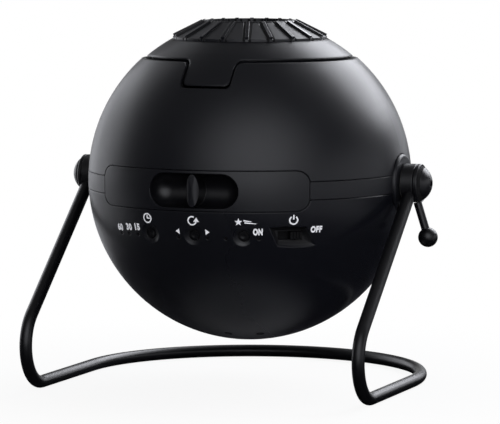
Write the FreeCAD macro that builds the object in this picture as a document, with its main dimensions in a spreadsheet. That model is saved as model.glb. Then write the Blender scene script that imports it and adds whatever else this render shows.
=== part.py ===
import FreeCAD, Part
import math
import os
from types import SimpleNamespace

import Sketcher
from FreeCAD import Placement, Rotation, Vector

# Home planetarium projector: a ball with a lens on top, a disc tray at its equator and a row of
# controls below it, tilting between the two uprights of a bent tube stand.
# The floor is z = 0, the ball's centre is straight above the origin and the front faces -Y.
# The ball's pieces are drawn about the ball's centre and then lifted to the tilt axis.

# Driving sizes in millimetres, angles in degrees, with what each one measures.
SIZES = [
    ("body_gap", 0.3, "clearance between pieces that move past each other"),
    ("seam_gap", 0.25, "open seam between neighbouring mouldings"),
    ("running_gap", 0.05, "radial clearance of a shaft in its bearing"),
    ("cut_overrun", 3.0, "how far a cut runs past the surface it opens"),

    ("tube_radius", 2.7, "stand tube, outside"),
    ("side_gap", 4.3, "ball's surface to the middle of an upright, at the tilt axis"),
    ("foot_reach", 102.9, "pivot forward to where upright and rail lines meet"),
    ("foot_bend_radius", 17.0, "bend between upright and rail"),
    ("pivot_rise", 85.2, "middle of the rail up to the tilt axis"),
    ("collar_radius", 8.25, "welded collar, outside"),
    ("collar_length", 5.3, "collar along the tilt axis"),
    ("collar_bevel", 0.35, "bevel on the collar's outer edge"),
    ("washer_radius", 7.4, "friction washer, outside"),
    ("washer_thickness", 0.5, "friction washer"),
    ("pin_radius", 2.5, "pivot pin and clamp screw"),
    ("pin_head_radius", 4.4, "pivot pin head"),
    ("pin_head_thickness", 1.6, "pivot pin head"),
    ("pin_tail", 2.2, "pin or screw beyond its clip or nut"),
    ("clip_radius", 4.4, "retaining clip, outside"),
    ("clip_thickness", 0.8, "retaining clip"),
    ("nut_radius", 4.4, "clamp nut across its corners, half"),
    ("nut_thickness", 3.0, "clamp nut"),

    ("dome_rim_thickness", 1.2, "rim of an end cap"),
    ("dome_rim_bevel", 0.3, "crest of the rim of an end cap"),
    ("dome_base_radius", 7.6, "dome where it leaves the rim"),
    ("dome_rise", 4.7, "dome apex above the rim"),
    ("dome_socket_radius", 1.7, "hexagon socket in the clamp dome"),
    ("dome_socket_depth", 1.6, "hexagon socket in the clamp dome"),
    ("lever_root_offset", 0.8, "lever axis inside the cap's back face, at the tilt axis side"),
    ("lever_root_drop", 7.0, "start of the lever axis below the tilt axis"),
    ("lever_ball_reach", 4.3, "lever ball centre outside the cap's back face"),
    ("lever_ball_drop", 23.0, "lever ball centre below the tilt axis"),
    ("lever_radius", 1.75, "lever rod"),
    ("lever_ball_radius", 4.2, "lever ball"),
    ("lever_ball_socket", 2.4, "rod inside the ball"),

    ("ball_radius", 70.0, "ball, outside"),
    ("shell_wall", 2.4, "moulded shells"),
    ("band_half_height", 3.65, "equator band, half"),
    ("band_width", 8.0, "equator ring, from the ball's surface inwards"),
    ("pad_radius", 12.2, "raised pad round each pivot"),
    ("pad_rise", 0.3, "pad face outside the ball's surface"),
    ("pad_depth", 6.3, "pad, from its face to its back"),
    ("pad_round", 1.0, "rounded edge of the pad"),
    ("barrel_radius", 7.5, "bearing barrel behind the pad"),
    ("barrel_length", 5.0, "bearing barrel behind the pad"),

    ("tray_half_width", 46.0, "tray front, half"),
    ("tray_half_height", 8.4, "tray front, half"),
    ("tray_corner", 5.0, "tray front corner"),
    ("tray_front_wall", 3.2, "tray front moulding"),
    ("grip_half_length", 19.8, "finger recess, half"),
    ("grip_radius", 7.3, "finger recess, half its height"),
    ("grip_depth", 9.8, "finger recess at its deepest"),
    ("grip_wall", 2.2, "back wall of the finger recess"),
    ("grip_side_wall", 1.9, "side wall of the finger recess"),
    ("rib_half_width", 2.8, "grip rib, half its thickness at the middle"),
    ("rib_half_height", 6.9, "grip rib, half"),
    ("rib_inset", 0.2, "grip rib face below the ball's surface"),
    ("rib_crown", 3.4, "roundness of the grip rib's face"),
    ("plate_half_width", 42.0, "tray plate, half"),
    ("plate_thickness", 1.95, "tray plate"),
    ("plate_shoulder", 47.5, "front corners of the tray plate, forward of the middle"),
    ("plate_rear", 28.0, "tray plate behind the middle"),
    ("arm_inner", 33.5, "inner side of the tray's arms"),
    ("arm_rear", 44.0, "tray's arms behind the middle"),
    ("hub_radius", 22.92, "lip that the star disc turns on"),
    ("hub_wall", 1.9, "lip that the star disc turns on"),
    ("hub_height", 1.1, "lip that the star disc turns on"),
    ("rail_thickness", 3.0, "rail side wall"),
    ("rail_lip", 3.8, "rail lip over the arm"),
    ("rail_lip_thickness", 1.5, "rail lip"),
    ("rail_front", 41.0, "rails forward of the middle"),
    ("rail_rear", 40.0, "rails behind the middle"),

    ("gear_module", 1.0, "tooth size of the disc drive"),
    ("gear_backlash", 0.3, "thinning of each tooth at the pitch line"),
    ("gear_face", 3.0, "gear thickness"),
    ("disc_bore", 23.0, "bearing bore of the star disc"),
    ("film_radius", 25.2, "star film"),
    ("film_thickness", 0.4, "star film"),
    ("film_seat_gap", 0.15, "play round the film"),
    ("film_ring_width", 1.8, "ring that clamps the film"),
    ("film_ring_height", 1.2, "ring that clamps the film"),
    ("gear_hub_radius", 4.0, "hub of the idler gear"),
    ("post_radius", 2.0, "idler post"),
    ("shaft_radius", 1.5, "motor shaft"),
    ("motor_radius", 10.0, "motor can"),
    ("motor_height", 17.5, "motor can"),
    ("motor_bore_depth", 4.5, "shaft inside the motor"),
    ("motor_ear_length", 4.5, "fixing ear of the motor"),
    ("motor_ear_width", 6.0, "fixing ear of the motor"),
    ("motor_ear_thickness", 1.2, "fixing ear of the motor"),

    ("deck_inset", 3.5, "decks' edge inside the ball's surface"),
    ("deck_thickness", 2.2, "decks"),
    ("deck_front", 50.0, "straight front edge of the decks"),
    ("deck_notch_room", 5.0, "deck notches beyond the end of the bearing barrel"),
    ("light_hole_radius", 22.0, "light hole of the lower deck"),
    ("screw_radius", 1.25, "self-tapping screws"),
    ("screw_head_radius", 2.4, "self-tapping screw heads"),
    ("screw_head_height", 1.6, "self-tapping screw heads"),
    ("screw_inset", 5.8, "deck screws inside the ball's surface"),
    ("screw_angle", 60.0, "deck screws from the front and the back"),
    ("shell_post_radius", 3.4, "screw posts of the lower shell"),
    ("shell_post_offset", 45.3, "screw posts from the middle plane"),
    ("shell_post_back", 21.1, "screw posts behind the middle"),
    ("shell_post_floor", 40.0, "floor of the screw wells below the ball's centre"),
    ("shell_post_web", 2.5, "floor thickness of the screw wells"),

    ("cap_seam_drop", 17.8, "top edge of the upper shell below the ball's top"),
    ("cap_gap", 1.0, "open groove between upper shell and top cap"),
    ("cap_inset", 0.7, "top cap's surface inside the shell's"),
    ("cap_wall", 3.8, "top cap"),
    ("cap_skirt_drop", 3.0, "skirt of the top cap inside the shell"),
    ("tongue_half_width", 10.3, "tongue of the top cap, half"),
    ("tongue_length", 10.4, "tongue's notch below the top edge of the shell"),
    ("tongue_corner", 2.0, "lower corners of the tongue"),
    ("tongue_flare", 2.4, "rounded shoulders of the tongue"),

    ("ring_base_radius", 33.3, "focus ring at its base"),
    ("ring_base_drop", 8.5, "focus ring's lower slope edge below the ball's top"),
    ("ring_top_radius", 20.2, "focus ring where its slope ends"),
    ("ring_rise", 6.5, "focus ring's slope"),
    ("ring_lip", 0.5, "bevel and rise of the ring's upper lip"),
    ("ring_lip_width", 0.9, "flat of the ring's upper lip"),
    ("ring_mouth_radius", 18.6, "throat of the ring"),
    ("ring_throat_drop", 4.5, "upper end of the ring's throat below its slope"),
    ("ring_skirt_wall", 2.3, "outer skirt of the ring"),
    ("ring_skirt_drop", 6.0, "outer skirt below the slope edge"),
    ("ring_web", 4.2, "ring below its slope at the skirt"),
    ("ring_hub_wall", 2.4, "inner hub of the ring"),
    ("ring_hub_drop", 13.7, "inner hub's lower end below the slope edge"),
    ("grip_rib_height", 0.95, "ribs above the ring's slope"),
    ("grip_rib_width", 1.5, "ribs of the focus ring"),
    ("grip_rib_root", 0.8, "ribs below the ring's slope"),
    ("ring_gap", 0.5, "gap between focus ring and top cap"),

    ("lens_tube_radius", 21.0, "fixed lens tube, outside"),
    ("lens_tube_bore", 18.0, "fixed lens tube, inside"),
    ("lens_tube_drop", 2.5, "fixed lens tube's upper end below the slope edge"),
    ("lens_flange_radius", 30.0, "foot of the lens tube"),
    ("lens_flange_thickness", 2.2, "foot of the lens tube"),
    ("lens_shelf_width", 3.0, "shelf that the focus ring rests on"),
    ("lens_shelf_thickness", 1.5, "shelf that the focus ring rests on"),
    ("barrel_fit", 0.08, "sliding clearance of the lens barrel"),
    ("barrel_bottom", 21.0, "lens barrel, lower end"),
    ("barrel_rise", 2.2, "lens barrel beyond the fixed tube"),
    ("barrel_wall", 2.2, "lens barrel"),
    ("barrel_seat", 2.7, "inward lip at the barrel's foot"),
    ("barrel_seat_thickness", 3.0, "inward lip at the barrel's foot"),
    ("lens_fit", 0.05, "play round the lenses"),
    ("lens_edge", 1.8, "edge thickness of the projection lenses"),
    ("lens_ledge", 1.5, "flat ledge between a lens's edge and its crown"),
    ("rear_lens_rise", 3.2, "crown of the rear lens"),
    ("front_lens_rise", 4.6, "crown of the front lens"),
    ("front_lens_drop", 8.2, "front lens, flat side below the barrel's upper end"),
    ("spacer_wall", 1.3, "tube between the lenses"),
    ("lock_ring_wall", 1.4, "ring that holds the front lens"),
    ("lock_ring_top_drop", 0.3, "lock ring below the barrel's end"),

    ("lamp_house_radius", 24.7, "lamp housing, outside"),
    ("lamp_house_flange", 28.0, "flange of the lamp housing"),
    ("lamp_house_flange_thickness", 2.0, "flange of the lamp housing"),
    ("lamp_house_bore", 22.5, "seat of the condenser lens"),
    ("lamp_house_step", 2.2, "shoulder under the condenser lens"),
    ("condenser_seat", 18.0, "condenser lens below the ball's centre"),
    ("condenser_edge", 1.5, "edge of the condenser lens"),
    ("condenser_rise", 6.5, "crown of the condenser lens"),
    ("lamp_house_bottom", 40.0, "lower end of the lamp housing"),
    ("lamp_house_floor", 2.0, "floor of the lamp housing"),
    ("lamp_hole_radius", 9.0, "hole in the lamp housing's floor"),
    ("lamp_board_radius", 14.0, "lamp board"),
    ("board_thickness", 1.6, "circuit boards"),
    ("emitter_base_radius", 4.0, "lamp emitter"),
    ("emitter_base_height", 1.0, "lamp emitter"),
    ("emitter_dome_radius", 2.8, "lamp emitter"),
    ("sink_radius", 22.0, "heat sink"),
    ("sink_base", 3.0, "heat sink base"),
    ("sink_fin_height", 11.0, "heat sink fins"),
    ("sink_fin_thickness", 1.4, "heat sink fins"),
    ("sink_fin_length", 26.0, "heat sink fins"),
    ("sink_fin_span", 30.0, "first to last heat sink fin"),

    ("control_drop", 18.8, "control row below the ball's centre"),
    ("button_angle", 17.9, "outer buttons from the front"),
    ("dish_radius", 4.65, "finger dish round each button"),
    ("dish_depth", 1.35, "finger dish"),
    ("button_radius", 2.0, "push buttons"),
    ("button_inset", 0.9, "button tops below the ball's surface"),
    ("button_dimple", 1.3, "dimple in each button"),
    ("button_dimple_depth", 0.35, "dimple in each button"),
    ("button_flange_radius", 3.2, "flange that keeps each button in"),
    ("button_flange_thickness", 1.0, "flange that keeps each button in"),
    ("button_play", 0.75, "button tail to its switch"),
    ("light_drop", 19.7, "indicator lights below the ball's centre"),
    ("light_radius", 0.7, "indicator light pipes"),
    ("light_sink", 0.1, "indicator lights below the ball's surface"),
    ("board_front", 47.0, "control board forward of the middle"),
    ("board_left", 38.5, "control board, left end"),
    ("board_right", 29.0, "control board, right end"),
    ("board_top_drop", 13.0, "control board, top edge below the ball's centre"),
    ("board_bottom_drop", 24.0, "control board, bottom edge below the ball's centre"),
    ("tab_offset", 22.5, "deck tabs that hold the control board"),
    ("tab_half_width", 3.0, "deck tabs, half"),
    ("tab_length", 15.0, "deck tabs below the deck"),
    ("switch_side", 6.0, "push switch housings"),
    ("switch_height", 3.5, "push switch housings"),
    ("plunger_radius", 1.6, "push switch plungers"),
    ("plunger_height", 1.0, "push switch plungers"),

    ("power_angle", 35.35, "power switch from the front"),
    ("power_top", 3.9, "recess, upper edge above the control row"),
    ("power_bottom", 4.4, "recess, lower edge below the control row"),
    ("power_top_left", 9.8, "recess, upper left corner from its middle"),
    ("power_top_right", 6.2, "recess, upper right corner from its middle"),
    ("power_bottom_left", 5.7, "recess, lower left corner from its middle"),
    ("power_bottom_right", 10.9, "recess, lower right corner from its middle"),
    ("power_depth", 5.7, "recess floor inside the ball's surface"),
    ("power_floor_margin", 0.5, "recess floor round the slider slot"),
    ("power_floor_slant", 0.8, "slant of the recess floor's ends"),
    ("power_slot_half_length", 5.2, "slider slot, half"),
    ("power_slot_half_height", 1.8, "slider slot, half"),
    ("power_wall", 2.2, "wall between recess floor and slide switch"),
    ("power_pad_half_length", 10.5, "pad behind the recess, half"),
    ("power_pad_half_height", 5.6, "pad behind the recess, half"),
    ("knob_length", 5.0, "slider knob"),
    ("knob_rise", 1.5, "slider knob's face above the recess floor"),
    ("knob_groove", 0.5, "grip grooves of the knob"),
    ("slide_body_half_length", 6.5, "slide switch housing, half"),
    ("slide_body_half_height", 3.2, "slide switch housing, half"),
    ("slide_body_depth", 5.0, "slide switch housing"),

    ("vent_circle", 26.6, "circle of the vents round the bottom"),
    ("vent_radius", 1.75, "round vents"),

    ("jack_drop", 19.0, "power inlet below the ball's centre"),
    ("jack_barrel_radius", 4.0, "power inlet barrel"),
    ("jack_hole_gap", 0.2, "play round the power inlet"),
    ("jack_bore_radius", 2.75, "power inlet socket"),
    ("jack_bore_depth", 9.0, "power inlet socket"),
    ("jack_pin_radius", 1.0, "centre pin of the power inlet"),
    ("jack_inset", 3.3, "power inlet's face inside the ball's surface"),
    ("jack_barrel_length", 5.2, "power inlet barrel outside its housing"),
    ("jack_body_length", 11.0, "power inlet housing"),
    ("jack_body_half_width", 4.5, "power inlet housing, half"),
    ("jack_body_half_height", 5.5, "power inlet housing, half"),
    ("power_board_half_width", 22.0, "power board, half"),
    ("power_board_length", 26.0, "power board, front to back"),
    ("power_board_setback", 5.5, "power board's far edge behind the inlet housing's face"),
    ("board_post_radius", 2.4, "posts under the power board"),
    ("board_post_offset", 15.0, "posts under the power board"),
    ("board_post_back", 44.0, "posts under the power board"),
]

DISC_TEETH = 60
IDLER_TEETH = 24
PINION_TEETH = 12
GRIP_RIBS = 20
VENTS = 12
SINK_FINS = 7

# Gear teeth above and below the pitch line, as shares of the module, and the slopes of their flanks.
TIP_SHARE = 0.8
ROOT_SHARE = 1.15
TIP_SLOPE_SHARE = 0.5
ROOT_SLOPE_SHARE = 0.25

# Where the grip ribs start and end along the focus ring's slope, and grooves along the slider knob.
RIB_START_SHARE = 0.03
RIB_END_SHARE = 0.02
KNOB_GROOVE_SHARES = (0.25, 0.5, 0.75)

# Azimuths of the indicator lights from the front, in degrees, negative to the left.
LIGHT_ANGLES = (-33.1, -28.8, -24.0, -5.9, 5.2, 11.8, 23.5)

doc = FreeCAD.newDocument("planetarium_projector")
sheet = doc.addObject("Spreadsheet::Sheet", "Sizes")
for row, (alias, number, note) in enumerate(SIZES, start=1):
    sheet.set(f"A{row}", note)
    sheet.set(f"B{row}", str(number))
    sheet.setAlias(f"B{row}", alias)
doc.recompute()


class Size:
    """A number together with the formula that the document keeps for it."""

    def __init__(self, number, formula):
        self.number = number
        self.formula = formula

    def __add__(self, other):
        other = as_size(other)
        return Size(self.number + other.number, f"({self.formula} + {other.formula})")

    def __sub__(self, other):
        other = as_size(other)
        return Size(self.number - other.number, f"({self.formula} - {other.formula})")

    def __mul__(self, other):
        other = as_size(other)
        return Size(self.number * other.number, f"({self.formula} * {other.formula})")

    def __truediv__(self, other):
        other = as_size(other)
        return Size(self.number / other.number, f"({self.formula} / {other.formula})")

    def __radd__(self, other):
        return as_size(other) + self

    def __rsub__(self, other):
        return as_size(other) - self

    def __rmul__(self, other):
        return as_size(other) * self

    def __neg__(self):
        return Size(-self.number, f"(0 - {self.formula})")


def as_size(quantity):
    if isinstance(quantity, Size):
        return quantity
    return Size(float(quantity), repr(float(quantity)))


def size(alias):
    return Size(float(sheet.get(alias)), f"Sizes.{alias}")


def root(quantity):
    return Size(math.sqrt(quantity.number), f"sqrt({quantity.formula})")


def sine(degrees):
    degrees = as_size(degrees)
    return Size(math.sin(math.radians(degrees.number)), f"sin({degrees.formula})")


def cosine(degrees):
    degrees = as_size(degrees)
    return Size(math.cos(math.radians(degrees.number)), f"cos({degrees.formula})")


def chord(radius, height):
    """Half the width of a circle or ball of this radius, at this height off its centre."""
    return root(radius * radius - height * height)


def crown_radius(edge, rise):
    """Radius of the ball whose cap has this edge radius and rise."""
    return (edge * edge + rise * rise) / (rise * 2)


dim = SimpleNamespace(**{alias: size(alias) for alias, number, note in SIZES})

floor_to_pivot = dim.pivot_rise + dim.tube_radius
shell_inner = dim.ball_radius - dim.shell_wall
pad_face = dim.ball_radius + dim.pad_rise
pad_back = pad_face - dim.pad_depth
barrel_end = pad_back - dim.barrel_length
band_inner = dim.ball_radius - dim.band_width
deck_radius = dim.ball_radius - dim.deck_inset
screw_circle = dim.ball_radius - dim.screw_inset
side_offset = dim.ball_radius + dim.side_gap
cap_outer = dim.ball_radius - dim.cap_inset
cap_inner = cap_outer - dim.cap_wall
cap_seam = dim.ball_radius - dim.cap_seam_drop
cap_bottom = cap_seam + dim.cap_gap
tongue_bottom = cap_seam - dim.tongue_length
ring_base = dim.ball_radius - dim.ring_base_drop
ring_top = ring_base + dim.ring_rise
ring_hub_bottom = ring_base - dim.ring_hub_drop
lens_tube_top = ring_base - dim.lens_tube_drop
barrel_top = lens_tube_top + dim.barrel_rise
front_lens_seat = barrel_top - dim.front_lens_drop
power_floor = dim.ball_radius - dim.power_depth
power_pad_face = power_floor - dim.power_wall
knob_face = power_floor + dim.knob_rise
jack_face = dim.ball_radius - dim.jack_inset
jack_body_front = jack_face - dim.jack_barrel_length
power_board_rear = jack_body_front - dim.power_board_setback
collar_start = pad_face + dim.body_gap + dim.washer_thickness
collar_end = collar_start + dim.collar_length
clamp_back = collar_end + dim.body_gap
disc_pitch = dim.gear_module * DISC_TEETH / 2
idler_pitch = dim.gear_module * IDLER_TEETH / 2
pinion_pitch = dim.gear_module * PINION_TEETH / 2
idler_place = disc_pitch + idler_pitch
plate_bottom = -dim.band_half_height + dim.body_gap
plate_top = plate_bottom + dim.plate_thickness
disc_bottom = plate_top + dim.body_gap
film_level = disc_bottom + dim.hub_height
deck_low = -dim.band_half_height - dim.deck_thickness
deck_high = dim.band_half_height + dim.deck_thickness
motor_x = idler_pitch + pinion_pitch
motor_y = idler_place


heights = {}


def bind(thing, prop, quantity):
    thing.setExpression(prop, as_size(quantity).formula)


def move(thing, x=0, y=0, z=0, rotation=None):
    """Places a piece: its rotation is fixed and its position follows the sizes."""
    x = as_size(x)
    y = as_size(y)
    z = as_size(z)
    thing.Placement = Placement(Vector(x.number, y.number, z.number), rotation or Rotation())
    bind(thing, "Placement.Base.x", x)
    bind(thing, "Placement.Base.y", y)
    bind(thing, "Placement.Base.z", z)
    heights[thing.Name] = z
    return thing


def swing(thing, degrees):
    """Turns a finished group about the ball's own axis."""
    degrees = as_size(degrees)
    thing.Placement = Placement(thing.Placement.Base, Rotation(Vector(0, 0, 1), degrees.number))
    bind(thing, "Placement.Rotation.Angle", degrees)
    return thing


ALONG_X = Rotation(Vector(0, 1, 0), 90)
ALONG_Y = Rotation(Vector(1, 0, 0), -90)
UPRIGHT = Rotation(Vector(1, 1, 1), 240)


def cylinder(name, radius, height, x=0, y=0, z=0, rotation=None):
    """A round bar that starts at the point and runs along the turned Z axis."""
    thing = doc.addObject("Part::Cylinder", name)
    bind(thing, "Radius", radius)
    bind(thing, "Height", height)
    return move(thing, x, y, z, rotation)


def ball(name, radius, x=0, y=0, z=0):
    thing = doc.addObject("Part::Sphere", name)
    bind(thing, "Radius", radius)
    return move(thing, x, y, z)


def block(name, low, high):
    """A box between two corners."""
    thing = doc.addObject("Part::Box", name)
    for prop, start, stop in zip(("Length", "Width", "Height"), low, high):
        bind(thing, prop, as_size(stop) - as_size(start))
    return move(thing, *low)


def fused(name, pieces):
    thing = doc.addObject("Part::MultiFuse", name)
    thing.Shapes = pieces
    return thing


def common(name, pieces):
    thing = doc.addObject("Part::MultiCommon", name)
    thing.Shapes = pieces
    return thing


def cut(name, base, tool):
    thing = doc.addObject("Part::Cut", name)
    thing.Base = base
    thing.Tool = tool
    return thing


def new_body(name):
    return doc.addObject("PartDesign::Body", name)


def plane_of(body, role):
    for feature in body.Origin.OriginFeatures:
        if feature.Role == role:
            return feature
    raise ValueError(role)


def new_sketch(body, name, role):
    sketch = body.newObject("Sketcher::SketchObject", name)
    sketch.AttachmentSupport = [(plane_of(body, role), "")]
    sketch.MapMode = "FlatFace"
    return sketch


def pin_coordinate(sketch, edge, end, axis, quantity):
    """Holds one coordinate of a point at its distance from the sketch's origin."""
    quantity = as_size(quantity)
    if quantity.number == 0:
        line = -2 if axis == "X" else -1
        sketch.addConstraint(Sketcher.Constraint("PointOnObject", edge, end, line))
        return
    index = sketch.addConstraint(
        Sketcher.Constraint(f"Distance{axis}", -1, 1, edge, end, quantity.number))
    bind(sketch, f"Constraints[{index}]", quantity)


def pin_point(sketch, edge, end, point):
    if as_size(point[0]).number == 0 and as_size(point[1]).number == 0:
        sketch.addConstraint(Sketcher.Constraint("Coincident", edge, end, -1, 1))
        return
    pin_coordinate(sketch, edge, end, "X", point[0])
    pin_coordinate(sketch, edge, end, "Y", point[1])


def draw_outline(sketch, points, arcs=None):
    """A closed outline. arcs holds, for an edge's number, its centre and whether it runs anticlockwise."""
    arcs = arcs or {}
    first = sketch.GeometryCount
    spots = [(as_size(x), as_size(y)) for x, y in points]
    ends = []
    for i, here in enumerate(spots):
        there = spots[(i + 1) % len(spots)]
        start = Vector(here[0].number, here[1].number, 0)
        stop = Vector(there[0].number, there[1].number, 0)
        if i in arcs:
            (cx, cy), anticlockwise = arcs[i]
            middle = Vector(as_size(cx).number, as_size(cy).number, 0)
            from_angle = math.atan2(start.y - middle.y, start.x - middle.x)
            to_angle = math.atan2(stop.y - middle.y, stop.x - middle.x)
            if not anticlockwise:
                from_angle, to_angle = to_angle, from_angle
            circle = Part.Circle(middle, Vector(0, 0, 1), start.distanceToPoint(middle))
            sketch.addGeometry(Part.ArcOfCircle(circle, from_angle, to_angle), False)
            ends.append((1, 2) if anticlockwise else (2, 1))
        else:
            sketch.addGeometry(Part.LineSegment(start, stop), False)
            ends.append((1, 2))
    count = len(spots)
    for i in range(count):
        before = (i - 1) % count
        sketch.addConstraint(Sketcher.Constraint(
            "Coincident", first + before, ends[before][1], first + i, ends[i][0]))
    for i, (centre, _) in arcs.items():
        pin_point(sketch, first + i, 3, centre)
    for i, spot in enumerate(spots):
        before = (i - 1) % count
        if before in arcs:
            centre = arcs[before][0]
            across = abs(spot[0].number - as_size(centre[0]).number)
            along = abs(spot[1].number - as_size(centre[1]).number)
            axis = "X" if along >= across else "Y"
            pin_coordinate(sketch, first + i, ends[i][0], axis, spot[0] if axis == "X" else spot[1])
        else:
            pin_point(sketch, first + i, ends[i][0], spot)
    return sketch


def draw_circle(sketch, radius, x=0, y=0):
    radius = as_size(radius)
    place = Vector(as_size(x).number, as_size(y).number, 0)
    index = sketch.addGeometry(Part.Circle(place, Vector(0, 0, 1), radius.number), False)
    number = sketch.addConstraint(Sketcher.Constraint("Radius", index, radius.number))
    bind(sketch, f"Constraints[{number}]", radius)
    pin_point(sketch, index, 3, (x, y))


def revolve(body, sketch, axis):
    feature = body.newObject("PartDesign::Revolution", f"{body.Name}_turned")
    feature.Profile = sketch
    feature.ReferenceAxis = (sketch, [axis])
    feature.Angle = 360
    return feature


def turned(name, points, arcs=None, about="Z"):
    """A body of revolution. Points are radius and height about Z, or place and radius about X."""
    body = new_body(name)
    sketch = draw_outline(new_sketch(body, f"{name}_profile", "XZ_Plane"), points, arcs)
    revolve(body, sketch, "V_Axis" if about == "Z" else "H_Axis")
    return body


def pad(body, sketch, length, reverse=False, both=False):
    feature = body.newObject("PartDesign::Pad", f"{sketch.Name}_pad")
    feature.Profile = sketch
    bind(feature, "Length", length)
    feature.Reversed = reverse
    feature.Midplane = both
    return feature


def pocket(body, sketch, length, reverse=False, both=False):
    feature = body.newObject("PartDesign::Pocket", f"{sketch.Name}_cut")
    feature.Profile = sketch
    bind(feature, "Length", length)
    feature.Reversed = reverse
    feature.Midplane = both
    return feature


def polar(body, feature, count):
    """Repeats the feature round the body's Z axis."""
    pattern = body.newObject("PartDesign::PolarPattern", f"{feature.Name}_round")
    pattern.Originals = [feature]
    pattern.Axis = (plane_of(body, "Z_Axis"), [""])
    pattern.Angle = 360
    pattern.Occurrences = count
    body.Tip = pattern
    return pattern


parts = {}


def finish(name, thing, lifted=True):
    """Gives a finished piece its label, and lifts the ball's pieces to the tilt axis."""
    thing.Label = name
    if lifted:
        bind(thing, "Placement.Base.z", floor_to_pivot + heights.get(thing.Name, 0))
    parts[name] = thing
    return thing


def half_turn(thing):
    thing.Placement = Placement(thing.Placement.Base, Rotation(Vector(0, 0, 1), 180))
    return thing


# Stand tube: one bent tube, from the left collar down to the left foot, back round the
# half circle of the base and up again to the right collar.
def bend(corner, before, after, radius):
    """End points and middle of the round bend at a corner between two straight runs."""
    to_before = (before - corner).normalize()
    to_after = (after - corner).normalize()
    half = to_before.getAngle(to_after) / 2
    inset = radius / math.tan(half)
    bisector = (to_before + to_after).normalize()
    middle = corner + bisector * (radius / math.sin(half) - radius)
    return corner + to_before * inset, middle, corner + to_after * inset


def stand_tube():
    half_width = side_offset.number
    rail = dim.tube_radius.number
    pivot = floor_to_pivot.number
    reach = dim.foot_reach.number
    top = Vector(-half_width, 0, pivot)
    corner = Vector(-half_width, -reach, rail)
    rail_end = Vector(-half_width, 0, rail)
    into, middle, out = bend(corner, top, rail_end, dim.foot_bend_radius.number)

    def mirrored(point):
        return Vector(-point.x, point.y, point.z)

    edges = [
        Part.LineSegment(top, into),
        Part.Arc(into, middle, out),
        Part.LineSegment(out, rail_end),
        Part.Arc(rail_end, Vector(0, half_width, rail), mirrored(rail_end)),
        Part.LineSegment(mirrored(rail_end), mirrored(out)),
        Part.Arc(mirrored(out), mirrored(middle), mirrored(into)),
        Part.LineSegment(mirrored(into), mirrored(top)),
    ]
    path = Part.Wire([edge.toShape() for edge in edges])
    section = Part.Wire([Part.Circle(top, into - top, dim.tube_radius.number).toShape()])
    tube = path.makePipeShell([section], True, True)
    collar_line = Part.makeCylinder(dim.collar_radius.number, 2 * collar_end.number,
                                    Vector(-collar_end.number, 0, pivot), Vector(1, 0, 0))
    sweep_room = dim.collar_radius.number + dim.body_gap.number
    outside = clamp_back.number + dim.dome_rim_thickness.number
    cap_room = Part.makeCylinder(sweep_room, 2 * outside, Vector(-outside, 0, pivot), Vector(1, 0, 0))
    inner_slab = Part.makeCylinder(sweep_room, 2 * collar_end.number,
                                   Vector(-collar_end.number, 0, pivot), Vector(1, 0, 0))
    thing = doc.addObject("Part::Feature", "stand_tube")
    thing.Shape = tube.cut(collar_line).cut(cap_room.cut(inner_slab))
    return thing


finish("stand_tube", stand_tube(), lifted=False)


# Collars: short steel rings welded to the tube's ends, bored for the pivots.
def collar(name, head_room):
    """A bevelled ring about the tilt axis, recessed at its outer face where a pin head sits."""
    bore = dim.pin_radius + dim.running_gap
    points = [(collar_start, bore), (collar_start, dim.collar_radius),
              (collar_end - dim.collar_bevel, dim.collar_radius),
              (collar_end, dim.collar_radius - dim.collar_bevel)]
    if head_room:
        recess = collar_end - dim.pin_head_thickness
        points += [(collar_end, dim.pin_head_radius + dim.running_gap),
                   (recess, dim.pin_head_radius + dim.running_gap), (recess, bore)]
    else:
        points += [(collar_end, bore)]
    return turned(name, points, about="X")


finish("right_collar", collar("right_ring", head_room=False))
finish("left_collar", half_turn(collar("left_ring", head_room=True)))


def friction_washer(name):
    start = collar_start - dim.washer_thickness
    points = [(start, dim.pin_radius + dim.running_gap * 2), (start, dim.washer_radius),
              (collar_start, dim.washer_radius), (collar_start, dim.pin_radius + dim.running_gap * 2)]
    return turned(name, points, about="X")


finish("right_friction_washer", friction_washer("right_disc"))
finish("left_friction_washer", half_turn(friction_washer("left_disc")))

# Left pivot: a headed pin through the collar into the ball, kept by a clip, under a domed cap.
clip_start = barrel_end - dim.body_gap - dim.clip_thickness
finish("left_pivot_pin",
       half_turn(turned("left_pin",
                        [(clip_start - dim.pin_tail, 0), (clip_start - dim.pin_tail, dim.pin_radius),
                         (collar_end - dim.pin_head_thickness, dim.pin_radius),
                         (collar_end - dim.pin_head_thickness, dim.pin_head_radius),
                         (collar_end, dim.pin_head_radius), (collar_end, 0)],
                        about="X")))
finish("left_pin_clip",
       half_turn(turned("left_clip",
                        [(clip_start, dim.pin_radius), (clip_start, dim.clip_radius),
                         (clip_start + dim.clip_thickness, dim.clip_radius),
                         (clip_start + dim.clip_thickness, dim.pin_radius)],
                        about="X")))


def dome(name, back):
    """End cap: a flat disc with a raised rim round a low dome."""
    rim = back + dim.dome_rim_thickness
    apex = rim + dim.dome_rise
    round_radius = crown_radius(dim.dome_base_radius, dim.dome_rise)
    points = [(back, 0), (back, dim.collar_radius), (rim, dim.collar_radius),
              (rim + dim.dome_rim_bevel, dim.collar_radius - dim.dome_rim_bevel),
              (rim, dim.dome_base_radius), (apex, 0)]
    return turned(name, points, {4: ((apex - round_radius, 0), False)}, about="X")


finish("left_end_cap", half_turn(dome("left_dome", collar_end)))

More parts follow.
